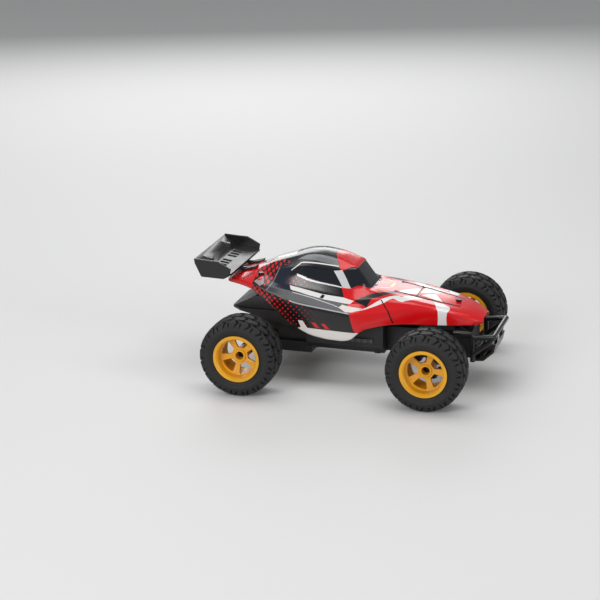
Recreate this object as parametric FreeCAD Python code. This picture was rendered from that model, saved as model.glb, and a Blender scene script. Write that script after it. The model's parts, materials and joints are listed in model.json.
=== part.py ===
"""Radio-controlled off-road buggy, about 1:20 scale.

Frame: the car heads +X, its left side is +Y, up is +Z. The origin lies on the ground
under the middle of the car. All lengths are millimetres.
"""
import FreeCAD, Part
import math
import os

V = FreeCAD.Vector

# ---- driving dimensions: the whole car ----
WHEELBASE = 145.0
FRONT_OVERHANG = 42.5          # front axle to the bumper's front
REAR_OVERHANG = 52.5           # rear axle to the wing's trailing edge
FRONT_HALF_TRACK = 75.5        # car centre to the middle of a front tyre
REAR_HALF_TRACK = 80.5         # car centre to the middle of a rear tyre
SHELL_WIDTH = 88.0             # across the sills
SHELL_TOP = 97.3               # roof above the ground
SHELL_SILL = 35.5              # lowest edge of the shell above the ground
SHELL_WALL = 1.3

# ---- wheels ----
TYRE_R = 30.5
TYRE_WIDTH = 30.0
TYRE_WALL = 2.2
RIM_WIDTH = 26.0
RIM_LIP_R = 18.4
RIM_LIP_WIDTH = 1.6
BEAD_R = 16.9                  # the tyre's bead sits on the barrel here
BARREL_WALL = 1.6
BOSS_R = 4.9                   # wheel hub boss
BOSS_OUT = 4.2                 # boss face, outboard of the wheel's middle
BOSS_IN = 9.0                  # boss foot, inboard of the wheel's middle
SCREW_POCKET_R = 3.2
SCREW_POCKET_FLOOR = -3.4      # where the wheel screw's head sits
SPOKES = 5
SPOKE_WIDTH = 6.2
WEB_WALL = 2.4
WEB_FOOT = 1.0                 # the web meets the boss this far outboard of the middle
WEB_RISE = 2.5                 # and the barrel this much further out
SPOKE_ANGLE_FRONT = 0.0
SPOKE_ANGLE_REAR = 28.0
AXLE_R = 1.5
SHAFT_PLAY = 0.05              # radial running clearance on every shaft
WHEEL_SCREW_HEAD_R = 2.8
WHEEL_SCREW_HEAD = 1.7
WHEEL_SCREW_R = 1.0
WHEEL_SCREW_LENGTH = 7.0
HEX_FLATS = 7.0
HEX_THICK = 3.0
HUB_GAP = 0.5                  # end play between a front wheel and its knuckle
SCREW_LIFT = 0.12              # a front wheel's screw head clears the rim by this

# ---- chassis tub ----
TUB_WALL = 1.6
TUB_HALF_WIDTH = 30.0
TUB_BELOW_AXLE = 8.5           # underside of the tub below the axles
TUB_CHAMFER = 5.5
TUB_ABOVE_AXLE = 15.5          # the well's rim above the axles
NOSE_HALF_WIDTH = 17.0
NOSE_ABOVE_AXLE = 9.5          # the nose box's rim above the axles
NOSE_AHEAD = 21.0              # nose box ahead of the front axle
BATTERY_LENGTH = 34.0
TUB_BEYOND_CELLS = 28.0        # the wide part of the tub is this much longer than the cells
BATTERY_R = 7.2
BATTERY_CELLS = 2
BOARD_THICK = 1.6
BOARD_EDGE = 1.8                # board's edge outside its posts
DOOR_THICK = 1.6
DOOR_GAP = 0.3
DOOR_SCREW_IN = 5.0
CLEAR = 0.4                    # air around a piece that moves past another
DECK_THICK = 1.6
STRIP_DEEP = 1.6               # light strips on the tub's sides
STRIP_TALL = 3.0
RAISED_INSET = 12.0            # the deck's raised middle inside its edge
SWITCH_TRAVEL = 3.0
SLOT_HALF = 4.0                # half length of the slot the switch knob slides in
KNOB_HALF = 1.2                # half width of the switch knob
MOUNT_HOLE_R = 1.5             # packing-screw holes in the underside
MOUNT_DEPTH = 6.0
SCREW_INTO = 7.0               # how far a screw reaches below its seat
POST_INSET = 5.5               # a cover post's middle inside the tub's end face
BOARD_CLEAR = 4.2              # board posts outside the cells

# ---- rear drive ----
GEAR_MODULE = 0.6
AXLE_TEETH = 36
IDLER_SMALL_TEETH = 12
IDLER_LARGE_TEETH = 32
PINION_TEETH = 10
IDLER_ANGLE = 20.0             # idler above the line from the axle, degrees
MOTOR_ANGLE = -10.0            # motor below the line from the idler, degrees
AXLE_GEAR_SIDE = 5.6           # the axle gear's inner face, left of the centre line
AXLE_GEAR_WIDTH = 4.0
LARGE_GEAR_WIDTH = 3.0
GUSSET_REACH = 0.7             # share of an axle tube that its gusset follows
CASE_HALF_WIDTH = 15.4
CASE_WALL = 1.6
COVER_THICK = 1.8
MOTOR_R = 9.0
MOTOR_LENGTH = 18.0
MOTOR_SHAFT_R = 1.0
SHAFT_START = 3.0              # the motor shaft's blind end, inside the case's right face
BUSH_R = 3.0
BUSH_FLANGE = 1.2
BUSH_LENGTH = 5.0
TUBE_R = 5.0                   # axle tube on each side of the gearbox
TOWER_BESIDE = 13.0            # rear tower's shelf outside the gearbox case
TOWER_BEHIND = 26.0            # rear tower's back edge behind the axle
TOWER_TALL = 11.5              # rear tower's block above its shelf's underside
TOWER_WALL = 1.8

# ---- front axle and steering ----
KINGPIN_INSET = 18.5           # kingpin inboard of the tyre's middle
KINGPIN_R = 1.3
STUB_START = 2.1               # a stub axle's inner end outside the kingpin's axis
ARM_EYE_R = 3.8
ARM_SPREAD = 11.0              # each wishbone foot from the axle line
ARM_THICK = 3.0
ARM_SCREW_UP = 3.0             # a wishbone screw above the tub's underside
ARM_FOOT = 2.4                 # thickness of a wishbone's foot plate
ARM_HEIGHT = 9.6               # each arm's near face above or below the axle
STEER_LOCK = 25.0              # degrees each way
STEER_ARM = 12.0               # kingpin to the tie pin
TIE_PIN_R = 1.0
SLOT_PLAY = 0.35
RACK_THICK = 3.0
RACK_WIDTH = 7.0
RACK_END_WALL = 1.2
HORN_ARM = 10.0

# ---- wing ----
WING_HALF_SPAN = 38.5
WING_DROP = 6.5                # the wing's trailing edge below the roof
WING_CHORD = 30.5
WING_SKIN = 1.8
PLATE_THICK = 1.8
STRUT_Y = 9.0
STRUT_THICK = 2.0

# ---- bumper ----
BUMPER_HALF_WIDTH = 25.0
BUMPER_TUBE_R = 2.0
BAR_ABOVE_NOSE = 3.0           # the bumper's cross bar above the nose box's rim

# ---- screws ----
SCREW_R = 1.1
SCREW_HEAD_R = 2.3
SCREW_HEAD = 1.5
POST_R = 3.2

# ---- places worked out from the sizes above ----
LENGTH = REAR_OVERHANG + WHEELBASE + FRONT_OVERHANG
WING_TOP = SHELL_TOP - WING_DROP
TUB_LENGTH = BATTERY_LENGTH + TUB_BEYOND_CELLS
FRONT_X = LENGTH / 2 - FRONT_OVERHANG
REAR_X = REAR_OVERHANG - LENGTH / 2
MID_X = (FRONT_X + REAR_X) / 2
AXLE_Z = TYRE_R
TUB_FLOOR = AXLE_Z - TUB_BELOW_AXLE
TUB_TOP = AXLE_Z + TUB_ABOVE_AXLE
NOSE_TOP = AXLE_Z + NOSE_ABOVE_AXLE
BUMPER_BAR_Z = NOSE_TOP + BAR_ABOVE_NOSE
KINGPIN_Y = FRONT_HALF_TRACK - KINGPIN_INSET
TIE_X = FRONT_X - STEER_ARM
HORN_X = TIE_X - HORN_ARM
IDLER_GAP = GEAR_MODULE * (AXLE_TEETH + IDLER_SMALL_TEETH) / 2
MOTOR_GAP = GEAR_MODULE * (IDLER_LARGE_TEETH + PINION_TEETH) / 2
IDLER_X = REAR_X + IDLER_GAP * math.cos(math.radians(IDLER_ANGLE))
IDLER_Z = AXLE_Z + IDLER_GAP * math.sin(math.radians(IDLER_ANGLE))
MOTOR_X = IDLER_X + MOTOR_GAP * math.cos(math.radians(MOTOR_ANGLE))
MOTOR_Z = IDLER_Z + MOTOR_GAP * math.sin(math.radians(MOTOR_ANGLE))


# ======================= small tools =======================

def box(x0, x1, y0, y1, z0, z1):
    """A block between two corners."""
    return Part.makeBox(x1 - x0, y1 - y0, z1 - z0, V(x0, y0, z0))


def rod(radius, start, end):
    """A round bar from one point to another."""
    axis = V(*end) - V(*start)
    return Part.makeCylinder(radius, axis.Length, V(*start), axis)


def fuse(pieces):
    """One solid from pieces that touch."""
    whole = pieces[0].multiFuse(pieces[1:])
    return whole.removeSplitter()


def mirrored(shape):
    """The same piece on the other side of the car."""
    return shape.mirror(V(0, 0, 0), V(0, 1, 0))


def prism(points, y0, y1):
    """A plate with this outline in X and Z, from y0 to y1."""
    corners = [V(x, y0, z) for x, z in points]
    face = Part.Face(Part.makePolygon(corners + corners[:1]))
    return face.extrude(V(0, y1 - y0, 0))


def slab(points, z0, z1):
    """A plate with this outline in X and Y, from z0 to z1."""
    corners = [V(x, y, z0) for x, y in points]
    face = Part.Face(Part.makePolygon(corners + corners[:1]))
    return face.extrude(V(0, 0, z1 - z0))


def turned(path):
    """A body of revolution about the Y axis. path holds (radius, y) points;
    a pair of points is an arc's middle and its end."""
    edges = []
    here = V(path[0][0], path[0][1], 0)
    for step in path[1:] + path[:1]:
        if isinstance(step[0], tuple):
            middle = V(step[0][0], step[0][1], 0)
            end = V(step[1][0], step[1][1], 0)
            edges.append(Part.Arc(here, middle, end).toShape())
        else:
            end = V(step[0], step[1], 0)
            edges.append(Part.LineSegment(here, end).toShape())
        here = end
    face = Part.Face(Part.Wire(edges))
    return face.revolve(V(0, 0, 0), V(0, 1, 0), 360)


def moved(shape, x, y, z):
    """A copy of the piece, carried to its place."""
    copy = shape.copy()
    copy.translate(V(x, y, z))
    return copy


def hexagon(flats, y0, y1):
    """A hexagonal bar along Y, centred on the axis."""
    reach = flats / math.sqrt(3)
    turns = [math.radians(60 * i) for i in range(6)]
    return prism([(reach * math.cos(t), reach * math.sin(t)) for t in turns], y0, y1)


def write(name, pieces):
    """Write one node; several separate solids go in as a compound."""
    solids = []
    for piece in pieces if isinstance(pieces, list) else [pieces]:
        solids += piece.Solids
    shape = solids[0] if len(solids) == 1 else Part.makeCompound(solids)
    for solid in solids:
        if not solid.isValid() or solid.Volume <= 0:
            print("bad solid in", name)
    shape.exportStep("parts/%s.step" % name)
    print("%-24s %2d solids %9.1f mm3" % (name, len(solids), shape.Volume))


# ======================= body shell =======================
# The shell's creases, each as (x, y, z) points from nose to tail, drawn for a car of the
# layout sizes here and stretched to the driving sizes. y is the distance from the centre.
LAYOUT_WHEELBASE = 145.0
LAYOUT_WIDTH = 88.0
LAYOUT_TOP = 97.3
LAYOUT_SILL = 35.5
LAYOUT_MID_X = 5.0

CROWN = [(107, 0, 53.5), (104, 0, 56), (97, 0, 59), (85, 0, 62.2), (50, 0, 69), (18, 0, 72.2),
         (6.5, 0, 87.6), (-10, 0, 95), (-25, 0, 97.3), (-36, 0, 96.2), (-62, 0, 87.5),
         (-86, 0, 76.5), (-96, 0, 73.5)]
PANEL_EDGE = [(107, 4, 53.4), (97, 11, 58.6), (85, 14, 61), (38, 14, 69.8), (18, 12, 71.6),
              (6.5, 12, 87), (-10, 12, 93), (-25, 12, 95.2), (-36, 12, 94), (-62, 11.5, 85.5),
              (-74, 11, 79.5), (-86, 10.5, 76.3), (-96, 10, 73.4)]
WINDOW_TOP = [(107, 6, 53.2), (97, 13.5, 58), (85, 16.5, 60.9), (70, 18, 63.8), (50, 19, 67.5),
              (33, 20, 69.6), (18, 14, 71.5), (10, 15.5, 78.5), (6.5, 14, 85.6), (-3.5, 20, 85.5),
              (-25, 21.5, 86.6), (-36, 21.5, 87), (-50, 21, 84), (-62, 19, 80.5),
              (-74, 16.5, 77.8), (-86, 15, 76), (-96, 14, 73.3)]
WINDOW_BASE = [(107, 7.5, 53), (97, 15, 57.6), (85, 18.5, 60.8), (70, 20.5, 63.8),
               (50, 23, 67.2), (33, 25, 68.4), (20, 21, 70.9), (10, 19.8, 72.4),
               (3, 24.8, 72.9), (-3.5, 25.6, 75), (-25, 26.3, 78.2), (-36, 26, 81.5),
               (-50, 25, 79), (-62, 23, 77), (-74, 20, 76.5), (-86, 18, 75.7), (-96, 17, 73.2)]
DOOR_BASE = [(107, 9, 52.6), (97, 16.5, 57), (85, 20, 60.6), (70, 22.5, 63.5), (50, 26, 66.5),
             (33, 28, 67.5), (20, 29.5, 67), (10, 30, 65.4), (-36, 30.2, 72), (-50, 29.5, 73),
             (-62, 27, 74), (-74, 24, 75.2), (-86, 21.5, 75.3), (-96, 20, 73.1)]
LEDGE = [(107, 10, 52), (97, 18, 56.3), (85, 21.5, 60), (70, 24.5, 62.9), (50, 28, 65.4),
         (33, 30.5, 65.4), (20, 32.5, 63.8), (3, 33, 62.2), (-36, 33, 68.6), (-50, 32.5, 70),
         (-62, 31, 71.5), (-74, 28, 74), (-86, 25, 74.8), (-96, 22.5, 73)]
SHOULDER = [(107, 11, 51.2), (104, 15.5, 52.4), (97, 19.8, 54.3), (85, 23.5, 58.3),
            (76, 25, 61), (46, 31.5, 61.6), (33, 34.5, 59.4), (20, 38.5, 57.3), (10, 41.8, 57),
            (-36, 42, 62.6), (-50, 40.3, 66.4), (-62, 37, 69), (-74, 32, 72.6), (-86, 28, 74),
            (-96, 24.5, 72.6)]
FLANK = [(107, 11, 50.2), (104, 15.6, 50.8), (97, 20.2, 52), (85, 24.2, 54), (76, 26, 55.5),
         (46, 32.5, 56), (33, 36, 54), (20, 40.2, 50), (10, 43.4, 46), (-25, 43.6, 47.5),
         (-43, 42.8, 55), (-50, 41, 60.5), (-62, 37.8, 65.6), (-74, 32.6, 70.5),
         (-86, 28.4, 72.2), (-96, 24.8, 71.4)]
SILL = [(107, 10.5, 49.3), (104, 15.3, 49), (97, 19.8, 48.8), (76, 25.6, 49), (40, 34, 50),
        (20, 39.6, 45.2), (15, 42, 42.5), (10, 43.6, 37), (3, 44, 35.5), (-10, 44, 35.9),
        (-25, 43.9, 38.6), (-43, 42, 47.5), (-56, 39.5, 58.5), (-66, 35.5, 64), (-74, 32, 68),
        (-86, 28, 70), (-96, 24.4, 70)]
CREASES = [CROWN, PANEL_EDGE, WINDOW_TOP, WINDOW_BASE, DOOR_BASE, LEDGE, SHOULDER, FLANK, SILL]
STATIONS = [107, 104, 97, 85, 76, 60, 46, 33, 20, 15, 10, 6.5, 3, -3.5, -10, -25, -36, -43,
            -50, -56, -66, -74, -86, -96]


def on_crease(crease, x):
    """Distance from the centre and height of a crease at one station, stretched."""
    for (xa, ya, za), (xb, yb, zb) in zip(crease, crease[1:]):
        if xb <= x <= xa:
            share = (xa - x) / (xa - xb)
            y = ya + share * (yb - ya)
            z = za + share * (zb - za)
            lift = (SHELL_TOP - SHELL_SILL) / (LAYOUT_TOP - LAYOUT_SILL)
            return y * SHELL_WIDTH / LAYOUT_WIDTH, SHELL_SILL + (z - LAYOUT_SILL) * lift
    raise ValueError("station outside the shell")


def stretched_x(x):
    """A layout station's place on the real wheelbase."""
    return MID_X + (x - LAYOUT_MID_X) * WHEELBASE / LAYOUT_WHEELBASE


def layout_x(x):
    """The layout station of a real place along the car."""
    return LAYOUT_MID_X + (x - MID_X) * LAYOUT_WHEELBASE / WHEELBASE


def shell_height(x, y):
    """Height of the shell's outside over a point of the car."""
    points = [on_crease(crease, layout_x(x)) for crease in CREASES]
    for (ya, za), (yb, zb) in zip(points, points[1:]):
        if ya <= abs(y) <= yb:
            return za + (abs(y) - ya) / (yb - ya) * (zb - za)
    raise ValueError("point outside the shell")


def inset(points, wall):
    """The half section moved inwards by the wall; its foot is carried lower to leave
    the bottom open."""
    result = []
    for i, (y, z) in enumerate(points):
        before = points[max(i - 1, 0)]
        after = points[min(i + 1, len(points) - 1)]
        along = V(after[0] - before[0], after[1] - before[1], 0).normalize()
        result.append((max(y + along.y * wall, 0.0), z - along.x * wall))
    result[0] = (0.0, points[0][1] - wall)
    foot_y, foot_z = result[-1]
    result[-1] = (points[-1][0] - wall, foot_z - TUB_CHAMFER)
    return result


def section(x, station, wall):
    """A closed section across the shell, or across its inside where wall is not 0."""
    half = [on_crease(crease, station) for crease in CREASES]
    if wall:
        half = inset(half, wall)
    ring = [(-y, z) for y, z in reversed(half[1:])] + half
    corners = [V(x, y, z) for y, z in ring]
    return Part.makePolygon(corners + corners[:1])


def shell_posts():
    """Where the shell is screwed down: one post in the nose, two ahead of the wing."""
    return [(stretched_x(85), 0.0), (stretched_x(-70), 20.0), (stretched_x(-70), -20.0)]


def body_shell():
    """The moulded shell, open below, with three screw holes."""
    outer = [section(stretched_x(x), x, 0) for x in STATIONS]
    ends = [STATIONS[0] - SHELL_WALL, STATIONS[-1] + SHELL_WALL]
    inside = [ends[0]] + [x for x in STATIONS[1:-1]] + [ends[1]]
    inner = [section(stretched_x(x), x, SHELL_WALL) for x in inside]
    shell = Part.makeLoft(outer, True, True).cut(Part.makeLoft(inner, True, True))
    for x, y in shell_posts():
        top = shell_height(x, y)
        shell = shell.cut(rod(SCREW_R + SHAFT_PLAY, (x, y, top - 9), (x, y, top + 9)))
        shell = shell.cut(rod(SCREW_HEAD_R + CLEAR, (x, y, top - 0.3), (x, y, top + 9)))
    return max(shell.Solids, key=lambda solid: solid.Volume)


def shell_underside(x, y):
    """Height at which a post meets the shell from below, with a hair of air."""
    steps = [(0, 0), (POST_R, 0), (-POST_R, 0), (0, POST_R), (0, -POST_R)]
    return min(shell_height(x + dx, y + dy) for dx, dy in steps) - SHELL_WALL * 1.35


def pan_screw(x, y, z, length):
    """A pan-head screw pointing down with the head's foot at z."""
    head = rod(SCREW_HEAD_R, (x, y, z), (x, y, z + SCREW_HEAD))
    shank = rod(SCREW_R, (x, y, z - length), (x, y, z))
    return fuse([head, shank])


# ======================= wheels =======================

def rim(angle):
    """A dished five-spoke rim about the Y axis, its outside towards +Y."""
    half = RIM_WIDTH / 2
    lip = half - RIM_LIP_WIDTH
    inner = BEAD_R - BARREL_WALL
    barrel = turned([(inner, -half), (RIM_LIP_R, -half), (RIM_LIP_R, -lip), (BEAD_R, -lip),
                     (BEAD_R, lip), (RIM_LIP_R, lip), (RIM_LIP_R, half), (inner + 0.5, half),
                     (inner, lip)])
    low = WEB_FOOT
    high = WEB_FOOT + WEB_RISE
    web = turned([(BOSS_R, low), (inner, high), (inner, high + WEB_WALL), (BOSS_R, low + WEB_WALL)])
    hole_in = BOSS_R + 2.2
    hole_out = inner - 0.9
    for i in range(SPOKES):
        turn = 360.0 / SPOKES * (i + 0.5) + angle
        side = 180.0 / SPOKES - math.degrees(math.asin(SPOKE_WIDTH / 2 / hole_out))
        foot = 0.62 * math.radians(side) * hole_in
        corners = [(hole_in, -foot), (hole_out * math.cos(math.radians(side)),
                                      -hole_out * math.sin(math.radians(side)))]
        ring = [V(c[0], -1.0, c[1]) for c in corners]
        arc = Part.Arc(ring[1], V(hole_out, -1.0, 0), V(ring[1].x, -1.0, -ring[1].z)).toShape()
        far = V(ring[0].x, -1.0, -ring[0].z)
        back = V(ring[1].x, -1.0, -ring[1].z)
        sides = [Part.makeLine(ring[0], ring[1]), arc, Part.makeLine(back, far),
                 Part.makeLine(far, ring[0])]
        hole = Part.Face(Part.Wire(sides)).extrude(V(0, RIM_WIDTH / 2, 0))
        hole.rotate(V(0, 0, 0), V(0, 1, 0), -turn)
        web = web.cut(hole)
    boss = turned([(0, -BOSS_IN), (BOSS_R, -BOSS_IN), (BOSS_R, BOSS_OUT), (0, BOSS_OUT)])
    wheel = fuse([barrel, web, boss])
    return wheel.cut(rod(SCREW_POCKET_R, (0, SCREW_POCKET_FLOOR, 0), (0, BOSS_OUT + 1, 0)))


def rear_rim():
    """Driven rim: bored for the axle, with a hexagon pocket on the inside."""
    wheel = rim(SPOKE_ANGLE_REAR)
    wheel = wheel.cut(rod(AXLE_R, (0, -BOSS_IN - 1, 0), (0, BOSS_OUT, 0)))
    return wheel.cut(hexagon(HEX_FLATS, -BOSS_IN - 1, -BOSS_IN + HEX_THICK))


def front_rim():
    """Free-running rim, bored to turn on its stub axle."""
    wheel = rim(SPOKE_ANGLE_FRONT)
    return wheel.cut(rod(AXLE_R + SHAFT_PLAY, (0, -BOSS_IN - 1, 0), (0, BOSS_OUT, 0)))


def tyre():
    """A hollow tyre about the Y axis: rounded sidewalls and a crowned tread."""
    bead = RIM_WIDTH / 2 - RIM_LIP_WIDTH
    half = TYRE_WIDTH / 2
    bulge_r = RIM_LIP_R + 0.42 * (TYRE_R - RIM_LIP_R)
    edge_r = TYRE_R - 3.2
    tread = half - 4.4
    crown_r = TYRE_R
    outer = [(BEAD_R, -bead), (RIM_LIP_R, -bead), (RIM_LIP_R + 0.6, -bead - 1.0),
             ((bulge_r, -half), (edge_r, -half + 1.2)), (TYRE_R - 0.7, -tread),
             ((crown_r, 0), (TYRE_R - 0.7, tread)), (edge_r, half - 1.2),
             ((bulge_r, half), (RIM_LIP_R + 0.6, bead + 1.0)), (RIM_LIP_R, bead), (BEAD_R, bead),
             (BEAD_R, bead - TYRE_WALL)]
    inner_r = TYRE_R - 2 * TYRE_WALL
    inner = [(RIM_LIP_R + TYRE_WALL, bead - TYRE_WALL + 0.8), (inner_r, half - TYRE_WALL - 1.6),
             (inner_r, -half + TYRE_WALL + 1.6), (RIM_LIP_R + TYRE_WALL, -bead + TYRE_WALL - 0.8),
             (BEAD_R, -bead + TYRE_WALL)]
    return turned(outer + inner)


def wheel_screw():
    """The screw that holds a wheel, its head in the boss pocket."""
    head = rod(WHEEL_SCREW_HEAD_R, (0, SCREW_POCKET_FLOOR, 0),
               (0, SCREW_POCKET_FLOOR + WHEEL_SCREW_HEAD, 0))
    drive = box(-0.4, 0.4, SCREW_POCKET_FLOOR + WHEEL_SCREW_HEAD - 0.7,
                SCREW_POCKET_FLOOR + WHEEL_SCREW_HEAD, -1.5, 1.5)
    other = drive.copy()
    other.rotate(V(0, 0, 0), V(0, 1, 0), 90)
    shank = rod(WHEEL_SCREW_R, (0, SCREW_POCKET_FLOOR - WHEEL_SCREW_LENGTH, 0),
                (0, SCREW_POCKET_FLOOR, 0))
    return fuse([head, shank]).cut(drive).cut(other)


def wheels():
    """The four rims, tyres and their screws."""
    rear = (REAR_X, REAR_HALF_TRACK, AXLE_Z)
    front = (FRONT_X, FRONT_HALF_TRACK, AXLE_Z)
    for place, spot, hub in (("rear", rear, rear_rim()), ("front", front, front_rim())):
        left = moved(hub, *spot)
        rubber = moved(tyre(), *spot)
        write(place + "_rim_left", left)
        write(place + "_rim_right", mirrored(left))
        write(place + "_tyre_left", rubber)
        write(place + "_tyre_right", mirrored(rubber))
    rear_screw = moved(wheel_screw(), *rear)
    write("rear_wheel_screws", [rear_screw, mirrored(rear_screw)])
    front_screw = moved(wheel_screw(), FRONT_X, FRONT_HALF_TRACK + SCREW_LIFT, AXLE_Z)
    write("front_wheel_screw_left", front_screw)
    write("front_wheel_screw_right", mirrored(front_screw))


# ======================= rear drive =======================

def gear(teeth, y0, y1, bore, phase):
    """A spur gear along Y with plain tapered teeth. phase turns it by a share of a tooth."""
    pitch_r = GEAR_MODULE * teeth / 2
    tip = pitch_r + 0.85 * GEAR_MODULE
    root = pitch_r - 1.15 * GEAR_MODULE
    step = 2 * math.pi / teeth
    points = []
    for i in range(teeth):
        middle = (i + phase) * step
        for radius, side in ((root, -0.27), (tip, -0.11), (tip, 0.11), (root, 0.27)):
            turn = middle + side * step
            points.append((radius * math.cos(turn), radius * math.sin(turn)))
    wheel = prism(points, y0, y1)
    return wheel.cut(rod(bore, (0, y0 - 1, 0), (0, y1 + 1, 0)))


def facing_phase(teeth, angle, tooth):
    """The phase that puts a tooth (or a gap) on the line at this angle, in XZ."""
    return angle / 360.0 * teeth % 1.0 + (0.0 if tooth else 0.5)


def axle_gear_span():
    """Side faces of the axle gear."""
    return AXLE_GEAR_SIDE, AXLE_GEAR_SIDE + AXLE_GEAR_WIDTH


def rear_drive():
    """Everything that turns in the rear, and the axle with its hexagons."""
    y0, y1 = axle_gear_span()
    axle_gear = moved(gear(AXLE_TEETH, y0, y1, AXLE_R, facing_phase(AXLE_TEETH, IDLER_ANGLE, True)),
                      REAR_X, 0, AXLE_Z)
    write("axle_gear", axle_gear)
    back = IDLER_ANGLE + 180
    small = gear(IDLER_SMALL_TEETH, y0 - 0.2, y1 + CLEAR, MOTOR_SHAFT_R + SHAFT_PLAY,
                 facing_phase(IDLER_SMALL_TEETH, back, False))
    large = gear(IDLER_LARGE_TEETH, y1 + CLEAR, y1 + CLEAR + LARGE_GEAR_WIDTH, MOTOR_SHAFT_R + SHAFT_PLAY,
                 facing_phase(IDLER_LARGE_TEETH, MOTOR_ANGLE, True))
    write("idler_gear", moved(fuse([small, large]), IDLER_X, 0, IDLER_Z))
    pinion_end = y1 + 2 * CLEAR + LARGE_GEAR_WIDTH
    pinion = gear(PINION_TEETH, y1 + 0.3, pinion_end, MOTOR_SHAFT_R,
                  facing_phase(PINION_TEETH, MOTOR_ANGLE + 180, False))
    write("motor_pinion", moved(pinion, MOTOR_X, 0, MOTOR_Z))
    shaft_in = SHAFT_START - CASE_HALF_WIDTH
    shaft_out = pinion_end + 0.5
    shaft = rod(MOTOR_SHAFT_R, (MOTOR_X, shaft_in, MOTOR_Z), (MOTOR_X, shaft_out, MOTOR_Z))
    write("motor_shaft", shaft)
    pin_half = CASE_HALF_WIDTH + COVER_THICK / 2
    pin = rod(MOTOR_SHAFT_R, (IDLER_X, motor_wall(), IDLER_Z), (IDLER_X, pin_half, IDLER_Z))
    write("idler_pin", pin)
    half = REAR_HALF_TRACK + SCREW_POCKET_FLOOR
    axle = rod(AXLE_R, (REAR_X, -half, AXLE_Z), (REAR_X, half, AXLE_Z))
    for side in (-1, 1):
        deep = (half - WHEEL_SCREW_LENGTH) * side
        axle = axle.cut(rod(WHEEL_SCREW_R, (REAR_X, deep, AXLE_Z), (REAR_X, half * side, AXLE_Z)))
    write("rear_axle", axle)
    inside = REAR_HALF_TRACK - BOSS_IN
    drive = hexagon(HEX_FLATS, inside, inside + HEX_THICK).fuse(
        rod(HEX_FLATS / 2, (0, inside - HEX_THICK, 0), (0, inside, 0)))
    drive = drive.cut(rod(AXLE_R, (0, inside - 4, 0), (0, inside + 4, 0)))
    drive = moved(drive, REAR_X, 0, AXLE_Z)
    write("rear_wheel_hexes", [drive, mirrored(drive)])


def motor_wall():
    """Left face of the motor: the case's inner wall starts here."""
    return axle_gear_span()[0] - 0.6 - CASE_WALL


def axle_tube_end():
    """Outer end of each axle tube, short of the wheel's hexagon by the bush's flange."""
    return REAR_HALF_TRACK - BOSS_IN - HEX_THICK - BUSH_FLANGE - HUB_GAP


def case_box():
    """Outer limits of the gearbox case in X and Z."""
    gear_r = GEAR_MODULE * AXLE_TEETH / 2 + GEAR_MODULE
    x0 = REAR_X - gear_r - CLEAR - CASE_WALL
    x1 = MOTOR_X + MOTOR_R + CLEAR + CASE_WALL
    z0 = AXLE_Z - gear_r - CLEAR - CASE_WALL
    large_r = GEAR_MODULE * IDLER_LARGE_TEETH / 2 + GEAR_MODULE
    z1 = IDLER_Z + large_r + CLEAR + CASE_WALL
    return x0, x1, z0, z1


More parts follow.
